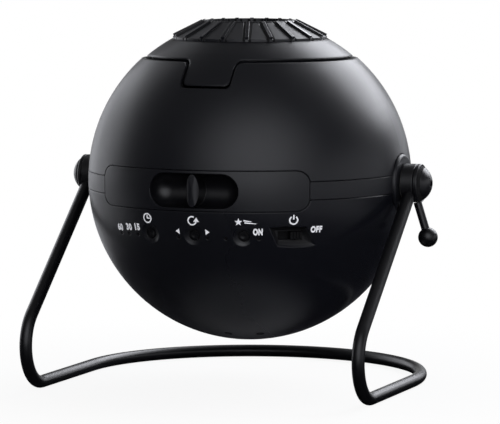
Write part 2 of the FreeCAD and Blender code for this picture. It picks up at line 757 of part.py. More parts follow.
# Clamp lever: the right dome turns with a thin rod that ends in a ball and a screw into the ball's nut.
lever_low_x = clamp_back + dim.lever_ball_reach
lever_high_x = clamp_back - dim.lever_root_offset
lever_run_x = lever_low_x - lever_high_x
lever_run_z = dim.lever_ball_drop - dim.lever_root_drop
lever_run = root(lever_run_x * lever_run_x + lever_run_z * lever_run_z)
lever_turn = Rotation(Vector(0, 0, 1), Vector(lever_run_x.number, 0, -lever_run_z.number))
screw_tip = barrel_end - dim.nut_thickness - dim.pin_tail
screw_seat = clamp_back + dim.dome_rim_thickness


def lever_bar(name, length):
    return cylinder(name, dim.lever_radius, length, lever_high_x, 0, -dim.lever_root_drop, lever_turn)


def collar_room(name):
    """Room that the lever's root keeps clear round the fixed collar."""
    return cylinder(name, dim.collar_radius + dim.body_gap, clamp_back - pad_face, pad_face, 0, 0,
                    ALONG_X)


def hexagon_bar(name, radius, height):
    thing = doc.addObject("Part::Prism", name)
    thing.Polygon = 6
    bind(thing, "Circumradius", radius)
    bind(thing, "Height", height)
    return thing


cap_apex = clamp_back + dim.dome_rim_thickness + dim.dome_rise
socket = move(hexagon_bar("clamp_socket", dim.dome_socket_radius, dim.dome_socket_depth + dim.cut_overrun),
              cap_apex - dim.dome_socket_depth, 0, 0, ALONG_X)
screw_room = cylinder("clamp_screw_room", dim.pin_radius, screw_seat - clamp_back, clamp_back, 0, 0,
                      ALONG_X)
clamp_tools = fused("clamp_cap_cuts", [socket, screw_room, lever_bar("clamp_rod_room", lever_run)])
finish("clamp_cap", cut("clamp_dome_cut", dome("clamp_dome", clamp_back), clamp_tools))
rod_blank = lever_bar("lever_blank", lever_run - dim.lever_ball_radius + dim.lever_ball_socket)
finish("lever_rod", cut("lever_rod_cut", rod_blank, collar_room("lever_collar_room")))
knob_blank = ball("lever_knob_blank", dim.lever_ball_radius, lever_low_x, 0, -dim.lever_ball_drop)
finish("lever_ball", cut("lever_knob_cut", knob_blank,
                         lever_bar("lever_knob_room",
                                   lever_run - dim.lever_ball_radius + dim.lever_ball_socket)))
finish("clamp_screw", cylinder("clamp_shank", dim.pin_radius, screw_seat - screw_tip, screw_tip, 0, 0,
                               ALONG_X))
nut_blank = move(hexagon_bar("nut_blank", dim.nut_radius, dim.nut_thickness),
                 barrel_end - dim.nut_thickness, 0, 0, ALONG_X)
nut_room = cylinder("nut_room", dim.pin_radius + dim.running_gap, dim.nut_thickness + dim.cut_overrun * 2,
                    barrel_end - dim.nut_thickness - dim.cut_overrun, 0, 0, ALONG_X)
finish("clamp_nut", cut("nut_cut", nut_blank, nut_room))


# Shells of the ball: thin zones of one sphere, opened for the tray, the pivots and the controls.
def zone(name, outer, inner, low, high):
    """Part of a hollow ball between two heights, or down to its pole when low is not given."""
    centre = (0, 0)
    if low is None:
        points = [(0, -outer), (chord(outer, high), high), (chord(inner, high), high), (0, -inner)]
        return turned(name, points, {0: (centre, True), 2: (centre, False)})
    points = [(chord(outer, low), low), (chord(outer, high), high),
              (chord(inner, high), high), (chord(inner, low), low)]
    return turned(name, points, {0: (centre, True), 2: (centre, False)})


def rounded_rectangle(half_width, half_height, corner):
    """Points and corner arcs of an upright rectangle with round corners."""
    w = half_width
    v = half_height
    points = [(w, corner - v), (w, v - corner), (w - corner, v), (corner - w, v),
              (-w, v - corner), (-w, corner - v), (corner - w, -v), (w - corner, -v)]
    arcs = {
        1: ((w - corner, v - corner), True),
        3: ((corner - w, v - corner), True),
        5: ((corner - w, corner - v), True),
        7: ((w - corner, corner - v), True),
    }
    return points, arcs


def open_front(body, points, arcs):
    """Cuts an outline seen from the front through the near side of a shell."""
    sketch = draw_outline(new_sketch(body, f"{body.Name}_window", "XZ_Plane"), points, arcs)
    return pocket(body, sketch, dim.ball_radius + dim.cut_overrun, reverse=True)


def open_pivots(body):
    """Cuts round holes for the pivot pads through both sides of a shell."""
    sketch = new_sketch(body, f"{body.Name}_pivots", "YZ_Plane")
    draw_circle(sketch, dim.pad_radius + dim.seam_gap)
    return pocket(body, sketch, (dim.ball_radius + dim.cut_overrun) * 2, both=True)


def tongue_outline(spread, top):
    """The tongue of the top cap, or the notch round it, seen from the front."""
    w = dim.tongue_half_width + spread
    low = tongue_bottom + dim.cap_gap - spread
    high = cap_bottom - spread
    corner = dim.tongue_corner
    flare = dim.tongue_flare
    points = [(w - corner, low), (w, low + corner), (w, high - flare), (w + flare, high),
              (w + flare, top), (-w - flare, top), (-w - flare, high), (-w, high - flare),
              (-w, low + corner), (corner - w, low)]
    arcs = {
        0: ((w - corner, low + corner), True),
        2: ((w + flare, high - flare), False),
        6: ((-w - flare, high - flare), False),
        8: ((corner - w, low + corner), True),
    }
    return points, arcs


window_outline = rounded_rectangle(dim.tray_half_width + dim.seam_gap, dim.tray_half_height + dim.seam_gap,
                                   dim.tray_corner + dim.seam_gap)
seam_height = dim.band_half_height + dim.seam_gap

def shell_point(angle, drop):
    """Place on the ball's surface at an azimuth from the front and a drop below its centre."""
    reach = chord(dim.ball_radius, drop)
    return reach * sine(angle), -reach * cosine(angle), -drop


def front_bar(name, points, arcs, length):
    """A bar with the outline seen from the front, from the middle plane towards the front."""
    body = new_body(name)
    sketch = draw_outline(new_sketch(body, f"{name}_outline", "XZ_Plane"), points, arcs)
    pad(body, sketch, length)
    return body


BUTTONS = {"timer": -dim.button_angle, "move": as_size(0), "meteor": dim.button_angle}


def power_recess():
    """Slanted recess with sloping walls round a narrow slot, drawn at the front."""
    radius = dim.ball_radius.number
    drop = dim.control_drop.number
    tall = dim.power_slot_half_height.number + dim.power_floor_margin.number
    long = dim.power_slot_half_length.number + dim.power_floor_margin.number
    lean = dim.power_floor_slant.number
    upper = dim.power_top.number
    lower = -dim.power_bottom.number
    floor_corners = [(-long - lean, tall), (long - lean, tall), (long + lean, -tall), (lean - long, -tall)]
    mouth_corners = [(-dim.power_top_left.number, upper), (dim.power_top_right.number, upper),
                     (dim.power_bottom_right.number, lower), (-dim.power_bottom_left.number, lower)]
    outward = Vector(0, -chord(dim.ball_radius, dim.control_drop).number, -drop).normalize()
    inner_ring = []
    outer_ring = []
    for (x, z), (mouth_x, mouth_z) in zip(floor_corners, mouth_corners):
        start = Vector(x, -power_floor.number, z - drop)
        reach = math.sqrt(radius ** 2 - mouth_x ** 2 - (mouth_z - drop) ** 2)
        wall = Vector(mouth_x, -reach, mouth_z - drop) - start
        share = (radius + dim.body_gap.number - outward.dot(start)) / outward.dot(wall)
        inner_ring.append(start)
        outer_ring.append(start + wall * share)
    rings = [Part.makePolygon(corners + corners[:1]) for corners in (inner_ring, outer_ring)]
    thing = doc.addObject("Part::Feature", "power_funnel")
    thing.Shape = Part.makeLoft(rings, True, True)
    slot = block("power_slot",
                 (-dim.power_slot_half_length, -dim.ball_radius,
                  -dim.control_drop - dim.power_slot_half_height),
                 (dim.power_slot_half_length, dim.cut_overrun - power_pad_face,
                  dim.power_slot_half_height - dim.control_drop))
    return swing(fused("power_opening", [thing, slot]), dim.power_angle)


def lower_inside():
    """Screw wells, board posts and the pad behind the power switch, trimmed inside the wall."""
    posts = []
    board_under = -dim.jack_drop - dim.jack_body_half_height - dim.board_thickness
    for side in (-1, 1):
        posts.append(cylinder("shell_post", dim.shell_post_radius, dim.ball_radius + deck_low,
                              dim.shell_post_offset * side, dim.shell_post_back, -dim.ball_radius))
        posts.append(cylinder("board_post", dim.board_post_radius, dim.ball_radius + board_under,
                              dim.board_post_offset * side, dim.board_post_back, -dim.ball_radius))
    trim = dim.ball_radius - dim.shell_wall / 2
    kept = common("lower_posts_trimmed", [fused("lower_posts", posts), ball("lower_trim", trim)])
    pad_block = block("power_pad",
                      (-dim.power_pad_half_length, -dim.ball_radius,
                       -dim.control_drop - dim.power_pad_half_height),
                      (dim.power_pad_half_length, -power_pad_face,
                       dim.power_pad_half_height - dim.control_drop))
    pad_kept = common("power_pad_trimmed", [pad_block, ball("power_trim", trim)])
    return [kept, swing(pad_kept, dim.power_angle)]


def lower_shell():
    body = zone("lower_bowl", dim.ball_radius, shell_inner, None, -seam_height)
    open_front(body, *window_outline)
    open_pivots(body)
    vent = new_sketch(body, "vent_hole", "XY_Plane")
    draw_circle(vent, dim.vent_radius, 0, -dim.vent_circle)
    polar(body, pocket(body, vent, dim.ball_radius + dim.cut_overrun), VENTS)
    solid = fused("lower_with_posts", [body] + lower_inside())

    tools = [power_recess()]
    dish = crown_radius(dim.dish_radius, dim.dish_depth)
    away = (dish - dim.dish_depth) / dim.ball_radius + 1
    for name, angle in BUTTONS.items():
        x, y, z = shell_point(angle, dim.control_drop)
        tools.append(ball(f"{name}_dish", dish, x * away, y * away, z * away))
        tools.append(cylinder(f"{name}_hole", dim.button_radius + dim.body_gap,
                              dim.ball_radius - dim.board_front,
                              x, -dim.ball_radius, z, ALONG_Y))
    for angle in LIGHT_ANGLES:
        x, y, z = shell_point(angle, dim.light_drop)
        tools.append(cylinder("light_hole", dim.light_radius + dim.running_gap,
                              dim.ball_radius - dim.board_front,
                              x, -dim.ball_radius, z, ALONG_Y))
    tools.append(cylinder("jack_hole", dim.jack_barrel_radius + dim.jack_hole_gap,
                          dim.ball_radius - jack_body_front, 0, jack_body_front, -dim.jack_drop,
                          ALONG_Y))
    for side in (-1, 1):
        x = dim.shell_post_offset * side
        tools.append(cylinder("shell_well", dim.screw_head_radius + dim.body_gap,
                              dim.ball_radius - dim.shell_post_floor,
                              x, dim.shell_post_back, -dim.ball_radius))
        tools.append(cylinder("shell_bore", dim.screw_radius + dim.running_gap, dim.ball_radius,
                              x, dim.shell_post_back, -dim.shell_post_floor - dim.shell_post_web))
    return cut("lower_shell_cut", solid, fused("lower_cuts", tools))


def upper_shell():
    body = zone("upper_bowl", dim.ball_radius, shell_inner, seam_height, cap_seam)
    open_front(body, *window_outline)
    open_pivots(body)
    open_front(body, *tongue_outline(dim.cap_gap, dim.ball_radius))
    return body


def top_cap():
    """Shallow dome with an inner skirt and a tongue that fills the shell's notch."""
    skirt_outer = shell_inner - dim.body_gap
    hole = dim.ring_base_radius + dim.ring_gap
    skirt_low = cap_bottom - dim.cap_skirt_drop
    centre = (0, 0)
    points = [(chord(cap_outer, cap_bottom), cap_bottom), (hole, chord(cap_outer, hole)),
              (hole, chord(cap_inner, hole)), (chord(cap_inner, skirt_low), skirt_low),
              (chord(skirt_outer, skirt_low), skirt_low), (chord(skirt_outer, cap_bottom), cap_bottom)]
    lid = turned("cap_lid", points, {0: (centre, True), 2: (centre, False), 4: (centre, True)})
    tongue_bar = front_bar("tongue_bar", *tongue_outline(as_size(0), cap_bottom + dim.shell_wall),
                           dim.ball_radius + dim.cut_overrun)
    tongue_zone = zone("tongue_zone", cap_outer, cap_outer - dim.shell_wall, tongue_bottom,
                       cap_bottom + dim.shell_wall)
    tongue = common("cap_tongue", [tongue_zone, tongue_bar])
    return fused("top_cap_whole", [lid, tongue])


finish("lower_shell", lower_shell())
finish("upper_shell", upper_shell())
finish("top_cap", top_cap())


# Equator ring: the visible band, with the two bearing barrels and their raised pads moulded on.
def mid_ring():
    body = new_body("equator_ring")
    sketch = new_sketch(body, "band_profile", "XZ_Plane")
    edge = chord(dim.ball_radius, dim.band_half_height)
    draw_outline(sketch, [(band_inner, -dim.band_half_height), (edge, -dim.band_half_height),
                          (edge, dim.band_half_height), (band_inner, dim.band_half_height)],
                 {1: ((0, 0), True)})
    revolve(body, sketch, "V_Axis")
    gap = new_sketch(body, "band_opening", "XZ_Plane")
    half = dim.tray_half_width + dim.seam_gap
    draw_outline(gap, [(half, -dim.band_half_height * 2), (half, dim.band_half_height * 2),
                       (-half, dim.band_half_height * 2), (-half, -dim.band_half_height * 2)])
    pocket(body, gap, dim.ball_radius + dim.cut_overrun, reverse=True)
    bosses = []
    for name in ("right_boss", "left_boss"):
        shoulder = pad_face - dim.pad_round
        boss = turned(name,
                      [(barrel_end, 0), (barrel_end, dim.barrel_radius),
                       (pad_back, dim.barrel_radius), (pad_back, dim.pad_radius),
                       (shoulder, dim.pad_radius), (pad_face, dim.pad_radius - dim.pad_round),
                       (pad_face, 0)],
                      {4: ((shoulder, dim.pad_radius - dim.pad_round), False)}, about="X")
        bosses.append(boss)
    half_turn(bosses[1])
    bore = cylinder("pivot_bore", dim.pin_radius + dim.running_gap, pad_face * 2 + dim.cut_overrun * 2,
                    -pad_face - dim.cut_overrun, 0, 0, ALONG_X)
    screw_holes = [cylinder("ring_screw_hole", dim.screw_radius + dim.running_gap, dim.band_half_height * 2,
                            x, y,
                            -dim.band_half_height) for x, y in deck_screw_places()]
    solid = fused("equator_ring_whole", [body] + bosses)
    return cut("equator_ring_cut", solid, fused("equator_ring_bores", [bore] + screw_holes))


def deck_screw_places():
    along = screw_circle * cosine(dim.screw_angle)
    across = screw_circle * sine(dim.screw_angle)
    return [(across, along), (across, -along), (-across, along), (-across, -along)]


finish("equator_band", mid_ring())


# Decks: round plates under and over the tray, screwed together through the equator ring.
def deck(name, bottom, hole_radius, extra_holes):
    body = new_body(name)
    sketch = new_sketch(body, f"{name}_outline", "XY_Plane")
    corner = chord(deck_radius, dim.deck_front)
    draw_outline(sketch, [(-corner, -dim.deck_front), (corner, -dim.deck_front)], {1: ((0, 0), True)})
    draw_circle(sketch, hole_radius)
    for x, y in deck_screw_places():
        draw_circle(sketch, dim.screw_radius + dim.running_gap, x, y)
    for radius, x, y in extra_holes:
        draw_circle(sketch, radius, x, y)
    pad(body, sketch, dim.deck_thickness)
    half_notch = dim.pad_radius + dim.body_gap
    for side in (-1, 1):
        notch = new_sketch(body, f"{name}_notch", "XY_Plane")
        near = (barrel_end - dim.deck_notch_room) * side
        far = (deck_radius + dim.cut_overrun) * side
        draw_outline(notch, [(near, -half_notch), (far, -half_notch), (far, half_notch),
                             (near, half_notch)])
        pocket(body, notch, dim.deck_thickness + dim.cut_overrun, reverse=True)
    return move(body, 0, 0, bottom)


def lower_deck():
    holes = [(dim.post_radius, as_size(0), idler_place),
             (dim.shaft_radius + dim.body_gap, motor_x, motor_y)]
    for side in (-1, 1):
        holes.append((dim.screw_radius, dim.shell_post_offset * side, dim.shell_post_back))
    plate = deck("lower_plate", deck_low, dim.light_hole_radius, holes)
    tabs = []
    back = dim.board_thickness - dim.board_front
    for side in (-1, 1):
        low = dim.tab_offset * side - dim.tab_half_width
        tabs.append(block("board_tab", (low, back, deck_low - dim.tab_length),
                          (low + dim.tab_half_width * 2, back + dim.deck_thickness, deck_low)))
    return fused("lower_deck_whole", [plate] + tabs)


finish("lower_deck", lower_deck())
finish("upper_deck", deck("upper_plate", dim.band_half_height, dim.lens_tube_bore + dim.body_gap,
                          [(dim.post_radius, as_size(0), idler_place)]))


def deck_screws():
    solids = []
    for x, y in deck_screw_places():
        head = cylinder("deck_screw_head", dim.screw_head_radius, dim.screw_head_height, x, y, deck_high)
        shank = cylinder("deck_screw_shank", dim.screw_radius, deck_high - deck_low, x, y, deck_low)
        solids.append(fused("deck_screw", [head, shank]))
    return compound("deck_screw_set", solids)


def shell_screws():
    solids = []
    for side in (-1, 1):
        x = dim.shell_post_offset * side
        top = -dim.shell_post_floor
        head = cylinder("shell_screw_head", dim.screw_head_radius, dim.screw_head_height, x,
                        dim.shell_post_back,
                        top - dim.screw_head_height)
        shank = cylinder("shell_screw_shank", dim.screw_radius, deck_low + dim.deck_thickness - top,
                         x, dim.shell_post_back, top)
        solids.append(fused("shell_screw", [head, shank]))
    return compound("shell_screw_set", solids)


def compound(name, solids):
    thing = doc.addObject("Part::Compound", name)
    thing.Links = solids
    return thing


finish("deck_screws", deck_screws())
finish("shell_screws", shell_screws())


# Disc tray: a curved front with the finger recess, and a flat plate whose arms run in two rails.
def tray_front():
    points, arcs = rounded_rectangle(dim.tray_half_width, dim.tray_half_height, dim.tray_corner)
    outline = front_bar("tray_outline", points, arcs, dim.ball_radius + dim.cut_overrun)
    skin = common("tray_skin", [
        zone("tray_zone", dim.ball_radius, dim.ball_radius - dim.tray_front_wall,
             -dim.tray_half_height - dim.cut_overrun, dim.tray_half_height + dim.cut_overrun), outline])
    back = dim.grip_depth + dim.grip_wall - dim.ball_radius
    side = dim.grip_half_length + dim.grip_side_wall
    pocket_block = common("tray_pocket",
                          [block("tray_pocket_block", (-side, -dim.ball_radius, -dim.tray_half_height),
                                 (side, back, dim.tray_half_height)),
                           ball("tray_pocket_trim", dim.ball_radius - dim.tray_front_wall / 2)])
    axis_y = dim.grip_depth - dim.ball_radius - dim.grip_radius
    reach = dim.grip_half_length - dim.grip_radius
    scoop = fused("grip_scoop", [
        cylinder("grip_trough", dim.grip_radius, reach * 2, -reach, axis_y, 0, ALONG_X),
        ball("grip_left_end", dim.grip_radius, -reach, axis_y, 0),
        ball("grip_right_end", dim.grip_radius, reach, axis_y, 0),
        grip_mouth(reach, axis_y)])
    hollow = cut("tray_hollow", fused("tray_blank", [skin, pocket_block]), scoop)
    return fused("tray_front_whole", [hollow, grip_rib(back - dim.grip_wall / 2)])


def grip_rib(rib_back):
    """Upright fin in the middle of the recess: an ellipse seen from the front, with a rounded face."""
    face = dim.ball_radius - dim.rib_inset
    middle = dim.rib_crown - face
    shoulder = middle - chord(dim.rib_crown, dim.rib_half_width)
    body = new_body("grip_rib_plan")
    sketch = new_sketch(body, "grip_rib_plan_outline", "XY_Plane")
    draw_outline(sketch, [(-dim.rib_half_width, shoulder), (dim.rib_half_width, shoulder),
                          (dim.rib_half_width, rib_back), (-dim.rib_half_width, rib_back)],
                 {0: ((0, middle), True)})
    pad(body, sketch, dim.rib_half_height * 2, both=True)
    ellipse = doc.addObject("Part::Ellipse", "grip_rib_ellipse")
    bind(ellipse, "MajorRadius", dim.rib_half_height)
    bind(ellipse, "MinorRadius", dim.rib_half_width)
    move(ellipse, 0, -dim.ball_radius, 0, UPRIGHT)
    prism = doc.addObject("Part::Extrusion", "grip_rib_front")
    prism.Base = ellipse
    prism.DirMode = "Normal"
    prism.Solid = True
    bind(prism, "LengthFwd", dim.ball_radius)
    return common("grip_rib", [body, prism, ball("grip_rib_trim", face)])


def grip_mouth(reach, axis_y):
    """Straight part of the recess, from its rounded back out through the front."""
    points = [(reach, -dim.grip_radius), (reach, dim.grip_radius), (-reach, dim.grip_radius),
              (-reach, -dim.grip_radius)]
    arcs = {0: ((reach, 0), True), 2: ((-reach, 0), True)}
    body = front_bar("grip_mouth", points, arcs, dim.ball_radius)
    return move(body, 0, axis_y, 0)


def tray_plate():
    body = new_body("tray_frame")
    sketch = new_sketch(body, "tray_frame_outline", "XY_Plane")
    front = dim.grip_depth + dim.grip_wall - dim.ball_radius
    w = dim.plate_half_width
    nose = dim.grip_half_length + dim.grip_side_wall
    draw_outline(sketch,
                 [(-nose, front), (nose, front), (w, -dim.plate_shoulder), (w, dim.arm_rear),
                  (dim.arm_inner, dim.arm_rear), (dim.arm_inner, dim.plate_rear),
                  (-dim.arm_inner, dim.plate_rear), (-dim.arm_inner, dim.arm_rear), (-w, dim.arm_rear),
                  (-w, -dim.plate_shoulder)])
    draw_circle(sketch, dim.hub_radius - dim.hub_wall)
    pad(body, sketch, dim.plate_thickness)
    lip = new_sketch(body, "tray_hub_outline", "XY_Plane")
    draw_circle(lip, dim.hub_radius)
    draw_circle(lip, dim.hub_radius - dim.hub_wall)
    pad(body, lip, dim.plate_thickness + dim.hub_height)
    return move(body, 0, 0, plate_bottom)


finish("tray_front", tray_front())
finish("tray_plate", tray_plate())


def tray_rail(name):
    """Side wall with a lip over the tray's arm, between the two decks."""
    body = new_body(name)
    sketch = new_sketch(body, f"{name}_section", "XZ_Plane")
    inner = dim.plate_half_width + dim.body_gap
    outer = inner + dim.rail_thickness
    lip_low = plate_top + dim.body_gap
    lip_high = lip_low + dim.rail_lip_thickness
    draw_outline(sketch,
                 [(inner, -dim.band_half_height), (outer, -dim.band_half_height),
                  (outer, dim.band_half_height), (inner, dim.band_half_height), (inner, lip_high),
                  (inner - dim.rail_lip, lip_high), (inner - dim.rail_lip, lip_low), (inner, lip_low)])
    pad(body, sketch, dim.rail_front + dim.rail_rear)
    return body


finish("right_tray_rail", move(tray_rail("right_rail"), 0, dim.rail_rear, 0))
finish("left_tray_rail", half_turn(move(tray_rail("left_rail"), 0, -dim.rail_front, 0)))


# Disc drive: the motor's pinion turns an idler, and the idler turns the toothed star disc.
def spur_gear(name, teeth, bore):
    """A gear with one straight-flanked tooth drawn and repeated round its rim."""
    body = new_body(name)
    pitch = dim.gear_module * teeth / 2
    root_radius = pitch - dim.gear_module * ROOT_SHARE
    tip = pitch + dim.gear_module * TIP_SHARE
    rim = new_sketch(body, f"{name}_rim", "XY_Plane")
    draw_circle(rim, root_radius)
    draw_circle(rim, bore)
    pad(body, rim, dim.gear_face)
    tooth = new_sketch(body, f"{name}_tooth", "XY_Plane")
    thick = dim.gear_module * math.pi / 4 - dim.gear_backlash / 2
    foot = thick + dim.gear_module * ROOT_SLOPE_SHARE * ROOT_SHARE
    crest = thick - dim.gear_module * TIP_SLOPE_SHARE * TIP_SHARE
    sunk = root_radius - dim.gear_module * ROOT_SHARE / 2
    draw_outline(tooth, [(sunk, -foot), (root_radius, -foot), (pitch, -thick), (tip, -crest),
                         (tip, crest), (pitch, thick), (root_radius, foot), (sunk, foot)])
    polar(body, pad(body, tooth, dim.gear_face), teeth)
    return body


def hubbed(name, gear, radius, bore):
    """A gear with a hub that fills the height between the decks, and a bore through both."""
    low = plate_bottom
    high = dim.band_half_height - dim.body_gap
    hub = cylinder(f"{name}_hub", radius, high - low, 0, 0, low)
    hole = cylinder(f"{name}_hole", bore, (high - low) * 2, 0, 0, low - (high - low) / 2)
    return cut(f"{name}_bored", fused(f"{name}_blank", [gear, hub]), hole)


def star_disc_gear():
    """Toothed ring with a seat for the film above its bearing bore."""
    gear = move(spur_gear("disc_wheel", DISC_TEETH, dim.disc_bore), 0, 0, disc_bottom)
    seat = cylinder("film_seat", dim.film_radius + dim.film_seat_gap, dim.gear_face, 0, 0, film_level)
    return cut("disc_wheel_seated", gear, seat)


def idler_gear():
    gear = move(spur_gear("idler_wheel", IDLER_TEETH, dim.post_radius + dim.running_gap), 0, 0, disc_bottom)
    wheel = hubbed("idler", gear, dim.gear_hub_radius, dim.post_radius + dim.running_gap)
    move(wheel, 0, idler_place, 0)
    return swing(wheel, 180 / IDLER_TEETH)


def motor_pinion():
    gear = move(spur_gear("pinion_wheel", PINION_TEETH, dim.shaft_radius), 0, 0, disc_bottom)
    return move(hubbed("pinion", gear, dim.gear_hub_radius - dim.running_gap, dim.shaft_radius), motor_x,
                motor_y, 0)


finish("star_disc_gear", star_disc_gear())
finish("star_film", cylinder("film", dim.film_radius, dim.film_thickness, 0, 0, film_level))
finish("film_clamp_ring", turned("film_ring", [
    (dim.film_radius - dim.film_ring_width, film_level + dim.film_thickness),
    (dim.film_radius, film_level + dim.film_thickness),
    (dim.film_radius, film_level + dim.film_thickness + dim.film_ring_height),
    (dim.film_radius - dim.film_ring_width, film_level + dim.film_thickness + dim.film_ring_height)]))
finish("idler_gear", idler_gear())
finish("idler_post", cylinder("idler_pin", dim.post_radius, deck_high - deck_low, 0, idler_place, deck_low))
finish("motor_pinion", motor_pinion())
finish("motor_shaft", cylinder("motor_spindle", dim.shaft_radius,
                               dim.band_half_height - deck_low + dim.motor_bore_depth - dim.body_gap * 2,
                               motor_x, motor_y, deck_low - dim.motor_bore_depth + dim.body_gap))


def gear_motor():
    """Round geared motor under the lower deck, with two fixing ears against it."""
    can = cylinder("motor_can", dim.motor_radius, dim.motor_height, 0, 0, -dim.motor_height)
    reach = dim.motor_radius + dim.motor_ear_length
    ears = block("motor_ears", (-reach, -dim.motor_ear_width / 2, -dim.motor_ear_thickness),
                 (reach, dim.motor_ear_width / 2, 0))
    bore = cylinder("motor_bore", dim.shaft_radius + dim.running_gap,
                    dim.motor_bore_depth + dim.cut_overrun,
                    0, 0, -dim.motor_bore_depth)
    return move(cut("motor_bored", fused("motor_blank", [can, ears]), bore), motor_x, motor_y, deck_low)


finish("gear_motor", gear_motor())


# Lens: a fixed tube on the upper deck, and a barrel with two lenses that rises and sinks in it.
def lens_tube():
    ledge_top = ring_hub_bottom - dim.body_gap
    ledge_low = ledge_top - dim.lens_shelf_thickness
    ledge = dim.lens_tube_radius + dim.lens_shelf_width
    foot = deck_high + dim.lens_flange_thickness
    return turned("lens_sleeve",
                  [(dim.lens_tube_bore, deck_high), (dim.lens_flange_radius, deck_high),
                   (dim.lens_flange_radius, foot), (dim.lens_tube_radius, foot),
                   (dim.lens_tube_radius, ledge_low), (ledge, ledge_low), (ledge, ledge_top),
                   (dim.lens_tube_radius, ledge_top), (dim.lens_tube_radius, lens_tube_top),
                   (dim.lens_tube_bore, lens_tube_top)])


barrel_outer = dim.lens_tube_bore - dim.barrel_fit
barrel_inner = barrel_outer - dim.barrel_wall
rear_lens_seat = dim.barrel_bottom + dim.barrel_seat_thickness
lens_radius = barrel_inner - dim.lens_fit


def lens(name, radius, seat, edge, rise):
    """A flat-backed lens with a straight edge and a narrow ledge round its crown."""
    shoulder = seat + edge
    top = shoulder + rise
    crown = radius - dim.lens_ledge
    return turned(name, [(0, seat), (radius, seat), (radius, shoulder), (crown, shoulder), (0, top)],
                  {3: ((0, top - crown_radius(crown, rise)), True)})


def tube(name, outer, wall, low, high):
    return turned(name, [(outer - wall, low), (outer, low), (outer, high), (outer - wall, high)])


finish("lens_tube", lens_tube())
finish("lens_barrel",
       turned("barrel_sleeve",
              [(barrel_inner - dim.barrel_seat, dim.barrel_bottom), (barrel_outer, dim.barrel_bottom),
               (barrel_outer, barrel_top), (barrel_inner, barrel_top),
               (barrel_inner, rear_lens_seat), (barrel_inner - dim.barrel_seat, rear_lens_seat)]))
finish("rear_lens", lens("rear_glass", lens_radius, rear_lens_seat, dim.lens_edge, dim.rear_lens_rise))
finish("lens_spacer", tube("spacer_sleeve", lens_radius, dim.spacer_wall, rear_lens_seat + dim.lens_edge,
                           front_lens_seat))
finish("front_lens", lens("front_glass", lens_radius, front_lens_seat, dim.lens_edge,
                          dim.front_lens_rise))
finish("lens_lock_ring", tube("lock_sleeve", lens_radius, dim.lock_ring_wall,
                              front_lens_seat + dim.lens_edge,
                              barrel_top - dim.lock_ring_top_drop))


# Focus ring: a turned cone with a bearing hub and a skirt, and straight grip ribs round its slope.
def focus_ring():
    hub_bore = dim.lens_tube_radius + dim.barrel_fit
    hub_outer = hub_bore + dim.ring_hub_wall
    skirt_inner = dim.ring_base_radius - dim.ring_skirt_wall
    web_low = ring_base - dim.ring_web
    web_high = ring_top - (ring_top - ring_base) / 2 - dim.ring_web
    skirt_low = ring_base - dim.ring_skirt_drop
    lip_outer = dim.ring_top_radius - dim.ring_lip
    lip_top = ring_top + dim.ring_lip
    lip_inner = lip_outer - dim.ring_lip_width
    throat_low = lens_tube_top + dim.body_gap
    body = new_body("focus_cone")
    sketch = new_sketch(body, "focus_profile", "XZ_Plane")
    draw_outline(sketch,
                 [(hub_bore, ring_hub_bottom), (hub_outer, ring_hub_bottom),
                  (hub_outer, web_high), (skirt_inner, web_low), (skirt_inner, skirt_low),
                  (dim.ring_base_radius, skirt_low), (dim.ring_base_radius, ring_base),
                  (dim.ring_top_radius, ring_top), (lip_outer, lip_top), (lip_inner, lip_top),
                  (dim.ring_mouth_radius, ring_top - dim.ring_throat_drop),
                  (dim.ring_mouth_radius, throat_low), (hub_bore, throat_low)])
    revolve(body, sketch, "V_Axis")
    run = dim.ring_base_radius - dim.ring_top_radius
    climb = ring_top - ring_base
    slope = root(run * run + climb * climb)
    out = dim.grip_rib_height / slope
    inn = dim.grip_rib_root / slope
    low_x = dim.ring_base_radius - run * RIB_START_SHARE
    low_z = ring_base + climb * RIB_START_SHARE
    high_x = dim.ring_top_radius + run * RIB_END_SHARE
    high_z = ring_top - climb * RIB_END_SHARE
    rib = new_sketch(body, "grip_rib_side", "XZ_Plane")
    draw_outline(rib, [
        (low_x - climb * inn, low_z - run * inn), (low_x + climb * out, low_z + run * out),
        (high_x + climb * out, high_z + run * out), (high_x - climb * inn, high_z - run * inn)])
    polar(body, pad(body, rib, dim.grip_rib_width, both=True), GRIP_RIBS)
    return body


finish("focus_ring", focus_ring())


# Lamp: a housing under the lower deck with the condenser lens, and the lamp board on its heat sink.
def lamp_housing():
    bottom = -dim.lamp_house_bottom
    step = dim.lamp_house_bore - dim.lamp_house_step
    under = deck_low - dim.lamp_house_flange_thickness
    return turned("lamp_cup",
                  [(dim.lamp_hole_radius, bottom), (dim.lamp_house_radius, bottom),
                   (dim.lamp_house_radius, under), (dim.lamp_house_flange, under),
                   (dim.lamp_house_flange, deck_low), (dim.lamp_house_bore, deck_low),
                   (dim.lamp_house_bore, -dim.condenser_seat), (step, -dim.condenser_seat),
                   (step, bottom + dim.lamp_house_floor),
                   (dim.lamp_hole_radius, bottom + dim.lamp_house_floor)])


board_level = -dim.lamp_house_bottom
sink_top = board_level - dim.board_thickness


